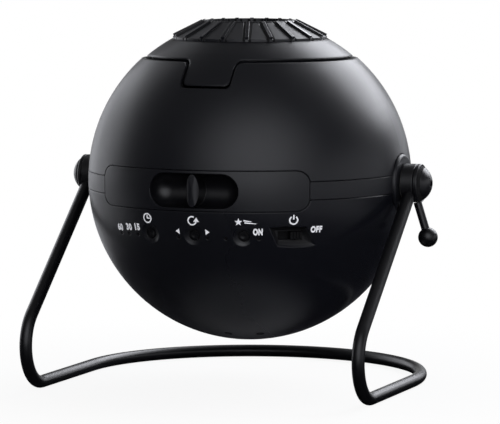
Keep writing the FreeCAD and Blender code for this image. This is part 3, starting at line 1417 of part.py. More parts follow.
def heat_sink():
    body = new_body("finned_plate")
    base = new_sketch(body, "sink_base_outline", "XY_Plane")
    draw_circle(base, dim.sink_radius)
    pad(body, base, dim.sink_base, reverse=True)
    fin = new_sketch(body, "sink_fin_outline", "XY_Plane")
    near = -dim.sink_fin_span / 2
    draw_outline(fin,
                 [(near - dim.sink_fin_thickness / 2, -dim.sink_fin_length / 2),
                  (near + dim.sink_fin_thickness / 2, -dim.sink_fin_length / 2),
                  (near + dim.sink_fin_thickness / 2, dim.sink_fin_length / 2),
                  (near - dim.sink_fin_thickness / 2, dim.sink_fin_length / 2)])
    fin_pad = pad(body, fin, dim.sink_base + dim.sink_fin_height, reverse=True)
    row = body.newObject("PartDesign::LinearPattern", "sink_fin_row")
    row.Originals = [fin_pad]
    row.Direction = (plane_of(body, "X_Axis"), [""])
    bind(row, "Length", dim.sink_fin_span)
    row.Occurrences = SINK_FINS
    body.Tip = row
    return move(body, 0, 0, sink_top)


def lamp_emitter():
    """Round base with a clear dome on it."""
    base_top = board_level + dim.emitter_base_height
    return turned("emitter", [
        (0, board_level), (dim.emitter_base_radius, board_level), (dim.emitter_base_radius, base_top),
        (dim.emitter_dome_radius, base_top), (0, base_top + dim.emitter_dome_radius)],
        {3: ((0, base_top), True)})


finish("lamp_housing", lamp_housing())
finish("condenser_lens", lens("condenser_glass", dim.lamp_house_bore - dim.body_gap, -dim.condenser_seat,
                              dim.condenser_edge, dim.condenser_rise))
finish("lamp_board", cylinder("lamp_disc", dim.lamp_board_radius, dim.board_thickness, 0, 0, sink_top))
finish("lamp_emitter", lamp_emitter())
finish("heat_sink", heat_sink())


# Controls: three push buttons over their switches, light pipes, and the power slider.
switch_front = -dim.board_front - dim.switch_height
button_tail = switch_front - dim.plunger_height - dim.button_play


def push_button(name, angle):
    """A stem with a retaining flange, its top rounded like the ball and dimpled."""
    x, y, z = shell_point(angle, dim.control_drop)
    top = dim.ball_radius - dim.button_inset
    stem = cylinder(f"{name}_stem", dim.button_radius, dim.ball_radius + button_tail, x, -dim.ball_radius,
                    z, ALONG_Y)
    edge_x = (x if x.number > 0 else -x) + dim.button_flange_radius
    edge_z = dim.control_drop + dim.button_flange_radius
    wall_y = chord(chord(shell_inner, edge_z), edge_x)
    flange = cylinder(f"{name}_flange", dim.button_flange_radius, dim.button_flange_thickness,
                      x, dim.body_gap - wall_y, z, ALONG_Y)
    away = (button_dimple_ball - dim.button_dimple_depth + top) / dim.ball_radius
    dimple = ball(f"{name}_dimple", button_dimple_ball, x * away, y * away, z * away)
    rounded = common(f"{name}_rounded",
                     [fused(f"{name}_blank", [stem, flange]), ball(f"{name}_crown", top)])
    return cut(f"{name}_dimpled", rounded, dimple)


button_dimple_ball = crown_radius(dim.button_dimple, dim.button_dimple_depth)
for name, angle in BUTTONS.items():
    finish(f"{name}_button", push_button(name, angle))


def push_switches():
    solids = []
    for name, angle in BUTTONS.items():
        x, y, z = shell_point(angle, dim.control_drop)
        half = dim.switch_side / 2
        case = block(f"{name}_switch_case", (x - half, switch_front, z - half),
                     (x + half, -dim.board_front, z + half))
        plunger = cylinder(f"{name}_plunger", dim.plunger_radius, dim.plunger_height + dim.switch_height,
                           x, switch_front - dim.plunger_height, z, ALONG_Y)
        solids.append(fused(f"{name}_switch", [case, plunger]))
    return compound("push_switch_set", solids)


def indicator_lights():
    solids = []
    for angle in LIGHT_ANGLES:
        x, y, z = shell_point(angle, dim.light_drop)
        pipe = cylinder("light_pipe", dim.light_radius, dim.ball_radius - dim.board_front - dim.body_gap,
                        x, -dim.ball_radius, z, ALONG_Y)
        solids.append(common("light", [pipe, ball("light_trim", dim.ball_radius - dim.light_sink)]))
    return compound("light_set", solids)


finish("push_switches", push_switches())
finish("indicator_lights", indicator_lights())
finish("control_board", block("control_panel", (-dim.board_left, -dim.board_front, -dim.board_bottom_drop),
                              (dim.board_right, dim.board_thickness - dim.board_front,
                               -dim.board_top_drop)))


def power_knob():
    """Slider at the right end of its slot, with three grip grooves across its face."""
    end = dim.power_slot_half_length - dim.body_gap
    half_height = dim.power_slot_half_height - dim.body_gap
    start = end - dim.knob_length
    solid = block("knob_blank", (start, -knob_face, -dim.control_drop - half_height),
                  (end, -power_pad_face - dim.body_gap, half_height - dim.control_drop))
    grooves = []
    for share in KNOB_GROOVE_SHARES:
        middle = start + dim.knob_length * share
        grooves.append(block("knob_groove", (middle - dim.knob_groove / 2, -knob_face,
                                             -dim.control_drop - half_height * 2),
                             (middle + dim.knob_groove / 2, dim.knob_groove - knob_face,
                              half_height * 2 - dim.control_drop)))
    return swing(cut("knob_grooved", solid, fused("knob_grooves", grooves)), dim.power_angle)


def slide_switch():
    """Switch housing against the pad, with a shallow track under the knob."""
    case = block("slide_case",
                 (-dim.slide_body_half_length, -power_pad_face,
                  -dim.control_drop - dim.slide_body_half_height),
                 (dim.slide_body_half_length, dim.slide_body_depth - power_pad_face,
                  dim.slide_body_half_height - dim.control_drop))
    track = block("slide_track",
                  (-dim.power_slot_half_length, -power_pad_face - dim.cut_overrun,
                   -dim.control_drop - dim.power_slot_half_height),
                  (dim.power_slot_half_length, dim.knob_groove - power_pad_face,
                   dim.power_slot_half_height - dim.control_drop))
    return swing(cut("slide_case_cut", case, track), dim.power_angle)


finish("power_knob", power_knob())
finish("slide_switch", slide_switch())


# Power inlet at the back, on its own board over two posts.
def power_inlet():
    body_back = jack_body_front - dim.jack_body_length
    case = block("jack_case", (-dim.jack_body_half_width, body_back,
                               -dim.jack_drop - dim.jack_body_half_height),
                 (dim.jack_body_half_width, jack_body_front, dim.jack_body_half_height - dim.jack_drop))
    barrel = cylinder("jack_barrel", dim.jack_barrel_radius, jack_face - jack_body_front,
                      0, jack_body_front, -dim.jack_drop, ALONG_Y)
    bore = cylinder("jack_bore", dim.jack_bore_radius, dim.jack_bore_depth + dim.cut_overrun,
                    0, jack_face - dim.jack_bore_depth, -dim.jack_drop, ALONG_Y)
    pin = cylinder("jack_pin", dim.jack_pin_radius, dim.jack_bore_depth, 0,
                   jack_face - dim.jack_bore_depth,
                   -dim.jack_drop, ALONG_Y)
    return fused("power_inlet_whole", [cut("jack_bored", fused("jack_blank", [case, barrel]), bore), pin])


board_under = -dim.jack_drop - dim.jack_body_half_height - dim.board_thickness
finish("power_inlet", power_inlet())
finish("power_board", block("power_panel",
                            (-dim.power_board_half_width, power_board_rear - dim.power_board_length,
                             board_under),
                            (dim.power_board_half_width, power_board_rear,
                             board_under + dim.board_thickness)))

doc.recompute()
faults = [thing.Label for thing in doc.Objects if {"Invalid", "Error"} & set(thing.State)]
faults += [name for name, thing in parts.items() if thing.Shape.isNull() or not thing.Shape.isValid()]
if faults:
    raise RuntimeError(f"failed to build: {faults}")
os.makedirs("parts", exist_ok=True)
for name, thing in parts.items():
    thing.Shape.exportStep(f"parts/{name}.step")
print(len(parts), "sub-parts")
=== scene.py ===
import math

import bmesh
import bpy
from mathutils import Matrix, Vector


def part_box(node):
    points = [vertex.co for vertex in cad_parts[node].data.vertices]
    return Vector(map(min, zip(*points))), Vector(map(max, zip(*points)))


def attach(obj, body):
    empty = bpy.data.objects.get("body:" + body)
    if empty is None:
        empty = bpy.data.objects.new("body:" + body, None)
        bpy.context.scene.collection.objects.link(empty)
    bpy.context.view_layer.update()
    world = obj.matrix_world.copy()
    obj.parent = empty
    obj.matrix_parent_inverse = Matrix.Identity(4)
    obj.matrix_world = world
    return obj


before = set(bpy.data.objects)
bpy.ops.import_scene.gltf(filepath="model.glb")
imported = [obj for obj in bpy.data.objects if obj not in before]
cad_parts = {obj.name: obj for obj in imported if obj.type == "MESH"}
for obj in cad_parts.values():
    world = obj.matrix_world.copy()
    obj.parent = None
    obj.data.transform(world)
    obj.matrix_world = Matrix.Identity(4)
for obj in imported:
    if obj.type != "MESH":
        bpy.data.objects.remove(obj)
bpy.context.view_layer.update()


# The camera has a long lens. It stands a little above the ball and to its right, and looks slightly
# down at it.
IMAGE_WIDTH = 500
FOCAL_PIXELS = 3611
SENSOR_WIDTH = 36.0
NEAREST_SEEN = 0.05
CAMERA_PLACE = Vector((0.5440, -1.4627, 0.2184))
CAMERA_SIDE = math.radians(20.4)
CAMERA_TILT = math.radians(5.32)

photographer = bpy.data.cameras.new("camera")
photographer.sensor_fit = "HORIZONTAL"
photographer.sensor_width = SENSOR_WIDTH
photographer.lens = FOCAL_PIXELS * SENSOR_WIDTH / IMAGE_WIDTH
photographer.clip_start = NEAREST_SEEN
camera = bpy.data.objects.new("camera", photographer)
camera.location = CAMERA_PLACE
camera.rotation_euler = (math.pi / 2 - CAMERA_TILT, 0, CAMERA_SIDE)
bpy.context.scene.collection.objects.link(camera)
bpy.context.scene.camera = camera
bpy.context.scene.view_settings.view_transform = "Standard"


# The floor is a sheet of white paper. The camera and the clear plastic see it white. For the gloss of
# the black pieces its colour is painted: painted shade makes it dark grey, with painted pools of light on
# the left, in front on the right and under the ball, and painted shade darkest close by on the right.
class Wire:
    """One socket of a tree. Arithmetic on it adds the Math nodes."""

    def __init__(self, recipe, socket):
        self.recipe = recipe
        self.socket = socket

    def math(self, operation, *others):
        return self.recipe.math(operation, self, *others)

    def __add__(self, other):
        return self.math("ADD", other)

    def __sub__(self, other):
        return self.math("SUBTRACT", other)

    def __rsub__(self, other):
        return self.recipe.math("SUBTRACT", other, self)

    def __mul__(self, other):
        return self.math("MULTIPLY", other)

    def __truediv__(self, other):
        return self.math("DIVIDE", other)

    def __abs__(self):
        return self.math("ABSOLUTE")

    __radd__ = __add__
    __rmul__ = __mul__


class Recipe:
    """A material, a world or a geometry tree in the making, and one way to add any node to it."""

    def __init__(self, owner):
        self.owner = owner
        if hasattr(owner, "node_tree"):
            owner.use_nodes = True
        self.tree = getattr(owner, "node_tree", None) or owner
        self.tree.nodes.clear()

    def node(self, kind, settings=(), sockets=(), give=0):
        """Sets the settings first, then the sockets by value or link, and gives one output."""
        made = self.tree.nodes.new(kind)
        for setting, value in dict(settings).items():
            setattr(made, setting, value)
        for socket, value in dict(sockets).items():
            if isinstance(value, Wire):
                self.tree.links.new(value.socket, made.inputs[socket])
            else:
                made.inputs[socket].default_value = value
        return Wire(self, made.outputs[give]) if len(made.outputs) else None

    def math(self, operation, *values):
        return self.node("ShaderNodeMath", {"operation": operation}, dict(enumerate(values)))

    def measure(self, operation, *vectors):
        """The length, distance or dot product of vectors."""
        return self.node("ShaderNodeVectorMath", {"operation": operation}, dict(enumerate(vectors)), "Value")

    def rise(self, value, low, high, start=0.0, end=1.0):
        """Goes smoothly from start to end while the value goes from low to high."""
        return self.node("ShaderNodeMapRange", {"interpolation_type": "SMOOTHSTEP"},
                         {"Value": value, "From Min": low, "From Max": high, "To Min": start, "To Max": end})

    def place(self):
        return self.node("ShaderNodeTexCoord", give="Object")

    def split(self, vector):
        parts = self.node("ShaderNodeSeparateXYZ", (), {0: vector}).socket.node.outputs
        return [Wire(self, part) for part in parts]

    def rays(self):
        """1 for what the camera, the gloss and the clear pieces see, each on its own wire."""
        outputs = self.node("ShaderNodeLightPath").socket.node.outputs
        return [Wire(self, outputs[f"Is {kind} Ray"]) for kind in ("Camera", "Glossy", "Transmission")]

    def speckle(self, size, detail=3.0, stretch=(1, 1, 1)):
        """Soft noise from 0 to 1 with lumps about size metres across."""
        spot = self.node("ShaderNodeMapping", (), {"Vector": self.place(), "Scale": stretch})
        noise = {"Vector": spot, "Scale": 1 / size, "Detail": detail}
        return self.node("ShaderNodeTexNoise", (), noise, "Fac")

    def tint(self, share, first, second):
        return self.node("ShaderNodeMix", {"data_type": "RGBA"},
                         {0: share, 6: (*first, 1) if isinstance(first, tuple) else first,
                          7: (*second, 1) if isinstance(second, tuple) else second}, 2)

    def surface(self, colour, roughness, relief=None, depth=0.0, edge=0.0, **steady):
        """Ends in a Principled BSDF. relief is a height from 0 to 1 of that depth, edge a rounding radius."""
        sockets = {"Base Color": colour, "Roughness": roughness}
        sockets.update({name.replace("_", " "): value for name, value in steady.items()})
        facing = self.node("ShaderNodeBevel", {"samples": 4}, {"Radius": edge}) if edge else None
        if relief is not None:
            lift = {"Height": relief, "Distance": depth}
            if facing:
                lift["Normal"] = facing
            facing = self.node("ShaderNodeBump", (), lift)
        if facing:
            sockets["Normal"] = facing
        skin = self.node("ShaderNodeBsdfPrincipled", (), sockets)
        self.node("ShaderNodeOutputMaterial", (), {"Surface": skin})


def finish_named(name):
    return Recipe(bpy.data.materials.new(name))


TO_RIGHT = Vector((math.cos(CAMERA_SIDE), math.sin(CAMERA_SIDE), 0))
LEVEL_AHEAD = Vector((-math.sin(CAMERA_SIDE), math.cos(CAMERA_SIDE), 0))
AHEAD = LEVEL_AHEAD * math.cos(CAMERA_TILT) - Vector((0, 0, math.sin(CAMERA_TILT)))
UPWARD = TO_RIGHT.cross(AHEAD)

# Each reach is a range of metres from under the ball, and each spread a range of cosines from a way.
FLOOR_COLOUR = (0.86, 0.86, 0.865)
FLOOR_PAINTED_SHADE_IN_GLOSS = (0.045, 0.045, 0.05)
DARKEST_FLOOR_PAINTED_SHADE_IN_GLOSS = (0.008, 0.008, 0.010)
FLOOR_HALF_WIDTH = 9
LEFT_WAY = AHEAD * 0.682 - TO_RIGHT * 0.731
LEFT_REACH = (0.12, 0.32)
LEFT_SPREAD = (0.60, 0.92)
FRONT_WAY = TO_RIGHT * 0.64 - LEVEL_AHEAD * 0.77
FRONT_REACH = (0.14, 0.40)
FRONT_SPREAD = (0.55, 0.95)
FRONT_SHARE = 0.46
UNDER_PLACE = LEVEL_AHEAD * -0.038 - TO_RIGHT * 0.006
UNDER_RADII = (0.060, 0.018)
UNDER_SHARE = 0.55
DARK_SPREAD = (0.3, -0.5)
DARK_REACH = (0.30, 0.16)
WHITE_REACH = (0.05, 0.25)
WHITE_SHARES = (0.90, 1.0)
MIRRORED_REACH = (1.2, 2.6)
BEHIND_SPREAD = (0.955, 0.985)

paper = finish_named("white_sweep")
camera_ray, gloss_ray, clear_ray = paper.rays()
away = paper.measure("LENGTH", paper.place())
behind = paper.measure("DOT_PRODUCT", paper.place(), LEVEL_AHEAD) / away
to_left = paper.measure("DOT_PRODUCT", paper.place(), LEFT_WAY) / away
to_front = paper.measure("DOT_PRODUCT", paper.place(), FRONT_WAY) / away
# Painted light and shade that only the gloss rays see: pools of light on the left, in front and under the
# ball, and painted shade darkest close by on the right, over a dark grey floor.
painted_left_light_pool = paper.rise(away, *LEFT_REACH) * paper.rise(to_left, *LEFT_SPREAD)
painted_front_light_pool = paper.rise(away, *FRONT_REACH) * paper.rise(to_front, *FRONT_SPREAD, 0.0, FRONT_SHARE)
from_under = paper.measure("DISTANCE", paper.place(), UNDER_PLACE)
painted_under_light_pool = paper.rise(from_under, *UNDER_RADII, 0.0, UNDER_SHARE)
painted_dark_side_shade = paper.rise(to_left, *DARK_SPREAD) * paper.rise(away, *DARK_REACH)
painted_grey_floor_shade = paper.tint(painted_dark_side_shade, FLOOR_PAINTED_SHADE_IN_GLOSS, DARKEST_FLOOR_PAINTED_SHADE_IN_GLOSS)
painted_gloss_floor = paper.tint(painted_left_light_pool + painted_under_light_pool + painted_front_light_pool, painted_grey_floor_shade, FLOOR_COLOUR)
lit_colour = paper.tint(gloss_ray, FLOOR_COLOUR, painted_gloss_floor)
lit_floor = paper.node("ShaderNodeBsdfDiffuse", (), {"Color": lit_colour})
plain_white = paper.node("ShaderNodeEmission", (), {"Color": (1, 1, 1, 1), "Strength": 1.0})
seen_white = paper.rise(away, *WHITE_REACH, *WHITE_SHARES) * (camera_ray + clear_ray)
mirrored_white = paper.rise(away, *MIRRORED_REACH) * paper.rise(behind, *BEHIND_SPREAD) * gloss_ray
white_share = seen_white + mirrored_white
mixed = paper.node("ShaderNodeMixShader", (), {0: white_share, 1: lit_floor, 2: plain_white})
paper.node("ShaderNodeOutputMaterial", (), {"Surface": mixed})

floor_mesh = bpy.data.meshes.new("floor")
floor_mesh.from_pydata([(x * FLOOR_HALF_WIDTH, y * FLOOR_HALF_WIDTH, 0)
                        for x, y in ((-1, -1), (1, -1), (1, 1), (-1, 1))], [], [(0, 1, 2, 3)])
floor_mesh.materials.append(paper.owner)
floor = bpy.data.objects.new("floor", floor_mesh)
bpy.context.scene.collection.objects.link(floor)


# The room. The paper hangs up behind the ball, where gloss and clear plastic see it white. The rest
# of the room is dim, and dimmer near the floor.
ROOM = 0.12
ROOM_AT_FLOOR = 0.035
ROOM_RISE = (0.0, 0.7)

studio = bpy.data.worlds.new("studio")
bpy.context.scene.world = studio
walls = Recipe(studio)
camera_ray, gloss_ray, clear_ray = walls.rays()
view = walls.node("ShaderNodeTexCoord", give="Generated")
_, _, view_up = walls.split(view)
dim_room = walls.rise(view_up, *ROOM_RISE, ROOM_AT_FLOOR, ROOM)
hung_paper = walls.rise(walls.measure("DOT_PRODUCT", view, AHEAD), *BEHIND_SPREAD)
mirrored = dim_room + hung_paper * (1 - dim_room)
strength = camera_ray + (gloss_ray + clear_ray) * mirrored + (1 - camera_ray - gloss_ray - clear_ray) * ROOM
sky = walls.node("ShaderNodeBackground", (), {"Color": (1, 1, 1, 1), "Strength": strength})
walls.node("ShaderNodeOutputWorld", (), {"Surface": sky})


# The lamps are softboxes: two broad ones in front, three behind on the right and two behind on the left,
# which draw the soft streaks down the ball's flanks, and a low one that fills the right.
LAMP_COLOUR = (0.965, 0.98, 1.04)
LAMP_REACH = 1.2
BALL_CENTRE = Vector((0, 0, 0.0879))


def softbox(name, azimuth, height, half_across, half_up, brightness, reach=LAMP_REACH):
    """A round or oval lamp that faces the ball. Its place and size are angles seen from the ball, in
    degrees: azimuth from the camera to the right, and height above the camera's line."""
    turn, raised = math.radians(azimuth), math.radians(height)
    lamp = bpy.data.lights.new(name, "AREA")
    lamp.shape = "ELLIPSE"
    lamp.color = LAMP_COLOUR
    lamp.size = 2 * reach * math.tan(math.radians(half_across))
    lamp.size_y = 2 * reach * math.tan(math.radians(half_up))
    lamp.energy = math.pi * lamp.size * lamp.size_y * brightness
    holder = bpy.data.objects.new(name, lamp)
    direction = (TO_RIGHT * math.sin(turn) * math.cos(raised) + UPWARD * math.sin(raised)
                 - AHEAD * math.cos(turn) * math.cos(raised))
    holder.rotation_euler = direction.to_track_quat("Z", "Y").to_euler()
    holder.location = BALL_CENTRE + direction * reach
    holder.visible_camera = False
    bpy.context.scene.collection.objects.link(holder)


softbox("front_box", 4, 12, 42, 38, 0.54)
softbox("front_box_middle", 4, 13, 24, 24, 0.76, reach=1.1)
softbox("rear_right_box", 134, 37, 24, 20, 4.2)
softbox("rear_right_foot", 142, 10, 15, 9, 1.0)
softbox("rear_right_edge", 158, 42, 15, 16, 1.4)
softbox("rear_left_box", -133, 12, 27, 23, 1.2)
softbox("rear_left_upper", -137, 40, 20, 15, 0.40)
softbox("right_fill", 78, 3, 34, 10, 0.65)


# The stand is one length of 5.4 mm steel tube, bent round five times and stove enamelled semi-gloss
# black. The enamel has the faint pull of a sprayed coat and is rubbed dull where it stands on the table.
ENAMEL_DEEP = (0.0022, 0.0022, 0.0030)
ENAMEL_PALE = (0.0036, 0.0036, 0.0048)
RUBBED_ENAMEL = (0.05, 0.05, 0.05)
RUBBED_HEIGHTS = (0.0012, 0.0002)
ENAMEL_ROUGHNESS = 0.31

enamel = finish_named("black_enamel")
_, _, above_table = enamel.split(enamel.place())
rubbed = enamel.rise(above_table, *RUBBED_HEIGHTS) * enamel.rise(enamel.speckle(0.004), 0.42, 0.6)
shade = enamel.tint(enamel.speckle(0.02), ENAMEL_DEEP, ENAMEL_PALE)
shade = enamel.tint(rubbed * 0.5, shade, RUBBED_ENAMEL)
dull = enamel.speckle(0.006) * 0.06 + ENAMEL_ROUGHNESS + rubbed * 0.15
enamel.surface(shade, dull, enamel.speckle(0.0012, 2.0), 0.000008, Specular_IOR_Level=0.42)


def dress(recipe, *names):
    """Gives CAD pieces their finish."""
    for name in names:
        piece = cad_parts[name]
        if not piece.material_slots:
            piece.data.materials.append(recipe.owner)
        for held in piece.material_slots:
            held.material = recipe.owner


dress(enamel, "stand_tube", "lever_rod", "lever_ball")


# Both pivots have a bevelled steel collar, turned from bar, welded to the tube's end and enamelled
# with it.
def mottled(name, low, high, patches, roughness, grain=None, depth=0.0, **steady):
    """A finish whose colour drifts from low to high in patches, over a relief of fine grain. patches and
    grain are what speckle takes. roughness is one value, or the lowest, the highest and what speckle
    takes."""
    finish = finish_named(name)
    shade = finish.tint(finish.speckle(*patches), low, high)
    if isinstance(roughness, tuple):
        smoothest, dullest, *spots = roughness
        roughness = finish.speckle(*spots) * (dullest - smoothest) + smoothest
    relief = finish.speckle(*grain) if grain else None
    finish.surface(shade, roughness, relief, depth, **steady)
    return finish


collar_enamel = mottled("collar_enamel", ENAMEL_DEEP, ENAMEL_PALE, patches=(0.01,),
                        roughness=(0.36, 0.44, 0.004), grain=(0.0008, 2.0), depth=0.00001, edge=0.0003)
dress(collar_enamel, "left_collar", "right_collar")


# The pivots' outer domes are moulded in a glossier black plastic. The left one covers the pin, and the
# right one turns with the clamp lever. A dull groove, a shallow bump, runs round the button in their
# middle, and painted shade darkens it.
DOME_DEEP = (0.0030, 0.0030, 0.0042)
DOME_PALE = (0.0050, 0.0050, 0.0062)
DOME_GROOVE_PAINTED_SHADE = (0.0010, 0.0010, 0.0013)
DOME_GROOVE_RADIUS = 0.0071
DOME_GROOVE_HALF_WIDTHS = (0.00060, 0.00035)
DOME_GROOVE_DEPTH = 0.0003

dome_plastic = finish_named("dome_plastic")
_, dome_y, dome_z = dome_plastic.split(dome_plastic.place())
dome_z = dome_z - BALL_CENTRE.z
off_axis = (dome_y * dome_y + dome_z * dome_z).math("SQRT")
dome_groove_and_painted_shade = dome_plastic.rise(abs(off_axis - DOME_GROOVE_RADIUS), *DOME_GROOVE_HALF_WIDTHS)
shade = dome_plastic.tint(dome_plastic.speckle(0.008), DOME_DEEP, DOME_PALE)
# The groove's dark colour is painted shade.
shade = dome_plastic.tint(dome_groove_and_painted_shade, shade, DOME_GROOVE_PAINTED_SHADE)
dull = dome_plastic.speckle(0.003) * 0.08 + 0.28 + dome_groove_and_painted_shade * 0.55
dome_plastic.surface(shade, dull, dome_plastic.speckle(0.00035, 2.0) * 0.02 - dome_groove_and_painted_shade, DOME_GROOVE_DEPTH,
                     edge=0.0003)
dress(dome_plastic, "left_end_cap", "clamp_cap")


# The friction washers between the collars and the ball are punched from vulcanised fibre sheet. They are
# grey and matt.
fibre = mottled("vulcanised_fibre", (0.045, 0.044, 0.043), (0.085, 0.083, 0.08), patches=(0.0012, 4.0),
                roughness=0.75, grain=(0.0003, 4.0), depth=0.00003)
dress(fibre, "left_friction_washer", "right_friction_washer")


# Pins, screws, the nut, the clip and the shafts are turned or pressed from mild steel and zinc plated.
# The left pivot turns on the headed pin with its spring clip, the right one on the clamp screw.
bright_steel = mottled("zinc_plated_steel", (0.50, 0.50, 0.49), (0.66, 0.66, 0.65), patches=(0.002, 5.0),
                       roughness=(0.22, 0.37, 0.0006, 4.0), grain=(0.00025, 3.0, (1, 1, 6)), depth=0.000006,
                       Metallic=1.0)
dress(bright_steel, "left_pivot_pin", "left_pin_clip", "clamp_screw", "clamp_nut", "motor_shaft",
      "idler_post", "deck_screws", "shell_screws")


# The ball is moulded in satin black ABS against a spark-eroded tool: two shells, the cap with its
# tongue, and the equator band with the two pivot pads, all snapped and screwed together.
BALL_RADIUS = 0.070
SATIN_DEEP = (0.0043, 0.0046, 0.0068)
SATIN_PALE = (0.0058, 0.0061, 0.0086)
HOLLOW_PAINTED_SHADE = (0.0022, 0.0022, 0.0032)
HOLLOW_DEPTHS = (0.0003, 0.0015)
LEVER_SIDE = (-0.01, 0.035)
SPARK_SIZE = 0.00028
SPARK_DEPTH = 0.000012
ABS_IOR = 1.45


def satin_black(name, roughness, low=SATIN_DEEP, high=SATIN_PALE, edge=0.0003, shine=0.5, hollow_dull=None,
                rubbed=0.0):
    """Moulded black plastic: a fine spark texture, faint flow marks and a few polished spots. On a piece of
    the ball's skin, hollows deeper than the skin are darkened with painted shade, and made duller or glossier
    by hollow_dull. The side by the clamp lever is smoother by rubbed, where the hand that works the lever
    brushes it."""
    finish = finish_named(name)
    flow = finish.speckle(0.045, 2.0, (1, 1, 0.35))
    handled = finish.rise(finish.speckle(0.018, 4.0), 0.52, 0.72)
    shade = finish.tint(flow, low, high)
    dull = finish.rise(flow, 0.3, 0.7, roughness - 0.02, roughness + 0.03) - handled * 0.03
    if hollow_dull is not None:
        from_centre = finish.measure("DISTANCE", finish.place(), BALL_CENTRE)
        hollow = finish.rise(from_centre, *(BALL_RADIUS - depth for depth in HOLLOW_DEPTHS))
        # Painted shade darkens the hollows below the skin.
        shade = finish.tint(hollow, shade, HOLLOW_PAINTED_SHADE)
        dull = dull + hollow * hollow_dull
    if rubbed:
        toward_lever, _, _ = finish.split(finish.place())
        dull = dull - finish.rise(toward_lever, *LEVER_SIDE) * rubbed
    finish.surface(shade, dull, finish.speckle(SPARK_SIZE, 2.0), SPARK_DEPTH, edge=edge, IOR=ABS_IOR,
                   Specular_IOR_Level=shine)
    return finish


# The shells and the band get painted shade in their hollows.
dress(satin_black("satin_black_shell", 0.36, edge=0.0007, hollow_dull=0.45), "upper_shell")
lower_black = satin_black("satin_black_lower_shell", 0.35, edge=0.0007, hollow_dull=0.45, rubbed=0.16)
dress(lower_black, "lower_shell")
dress(satin_black("satin_black_cap", 0.38, edge=0.0013), "top_cap")
dress(satin_black("satin_black_band", 0.37, hollow_dull=0.45), "equator_band")


# The disc tray's front is moulded in the same black. Painted shade darkens the scoop round its grip rib
# as it does the hollows of the ball, and fingers keep the scoop a little glossier than those hollows.
# Painted shade darkens the scoop round the grip rib.
dress(satin_black("satin_black_tray", 0.37, edge=0.0005, hollow_dull=-0.03), "tray_front")


# The decks, the rails, the tray plate, the lens mounts, the lamp housing, the switches and the star
# film's clamp ring are plain black mouldings, a little paler than the ball, since nobody sees them.
inner_black = satin_black("inner_black", 0.50, (0.0100, 0.0100, 0.0115), (0.0160, 0.0160, 0.0175), edge=0)
dress(inner_black, "lower_deck", "upper_deck", "left_tray_rail", "right_tray_rail", "tray_plate",
      "lens_tube", "lens_barrel", "lens_spacer", "lens_lock_ring", "lamp_housing", "push_switches",
      "film_clamp_ring")


# The focus ring is moulded in black plastic and turned round by its twenty ribs. Their crests are a
# little polished by fingers, and the corners beside them and the ring's foot are dull, with painted shade
# darkening them.
GRIP_RIBS = 20
RIB_HALF_WIDTH = 0.00075
RIB_CREST_EDGE = (0.0001, -0.0003)
GROOVE_FROM_RIB = 0.00050
GROOVE_HALF_WIDTHS = (0.00062, 0.00028)
RING_FOOT_HEIGHTS = (0.0014, 0.0007)
RING_DEEP = (0.0055, 0.0058, 0.0080)
RING_PALE = (0.0078, 0.0082, 0.0110)
RING_PAINTED_SHADE = (0.0010, 0.0010, 0.0014)
RING_RELIEF = 0.00022

ring_black = finish_named("focus_ring_black")
ring_x, ring_y, ring_z = ring_black.split(ring_black.place())
level_place = ring_black.node("ShaderNodeCombineXYZ", (), {0: ring_x, 1: ring_y})
from_axis = ring_black.measure("LENGTH", level_place)
turns = ring_y.math("ARCTAN2", ring_x) * (GRIP_RIBS / math.tau)
from_rib = ((turns + 0.5).math("FRACT") - 0.5) * from_axis * (math.tau / GRIP_RIBS)
beside = abs(abs(from_rib) - (RIB_HALF_WIDTH + GROOVE_FROM_RIB))
rib_groove_and_painted_shade = ring_black.rise(beside, *GROOVE_HALF_WIDTHS)
crest = ring_black.rise(abs(from_rib), *(RIB_HALF_WIDTH + offset for offset in RIB_CREST_EDGE))
ring_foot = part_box("focus_ring")[0][2]
foot_shade = ring_black.rise(ring_z, *(ring_foot + height for height in RING_FOOT_HEIGHTS))
rib_groove_and_painted_shade = rib_groove_and_painted_shade.math("MAXIMUM", foot_shade)
shade = ring_black.tint(ring_black.speckle(0.02), RING_DEEP, RING_PALE)
# Painted shade darkens the corners beside the ribs and the ring's foot.
shade = ring_black.tint(rib_groove_and_painted_shade, shade, RING_PAINTED_SHADE)
dull = ring_black.rise(rib_groove_and_painted_shade, 0.0, 1.0, 0.42, 0.90) - crest * 0.18
ring_black.surface(shade, dull, ring_black.speckle(SPARK_SIZE, 2.0) * 0.05 - rib_groove_and_painted_shade * 0.95, RING_RELIEF,
                   edge=0.00015, IOR=ABS_IOR)
dress(ring_black, "focus_ring")


# The three push buttons over their switches and the power inlet at the back are moulded in a darker,
# duller black than the ball.
button_black = satin_black("button_black", 0.42, (0.0022, 0.0022, 0.0030), (0.0040, 0.0040, 0.0052),
                           edge=0.0002, shine=0.35)
dress(button_black, "timer_button", "move_button", "meteor_button", "power_inlet")


# The slide switch and the knob that works it are moulded matt black, darkened further with painted
# shade, so that their slot in the lower shell reads as a dark window.
# This near-black colour is partly the plastic's black and partly painted shade.
knob_black_with_painted_shade = satin_black("knob_black_with_painted_shade", 0.62, (0.0010, 0.0010, 0.0014), (0.0020, 0.0020, 0.0026),
                         edge=0.0001, shine=0.2)
dress(knob_black_with_painted_shade, "power_knob", "slide_switch")


# The indicator lights shine through light pipes of smoked acrylic in the lower shell. They are off, so
# they look dark.
smoked = mottled("smoked_light_pipe", (0.0030, 0.0030, 0.0035), (0.0060, 0.0055, 0.0060), patches=(0.0006,),
                 roughness=0.16, grain=(0.0003,), depth=0.000004, Specular_IOR_Level=0.3)
dress(smoked, "indicator_lights")


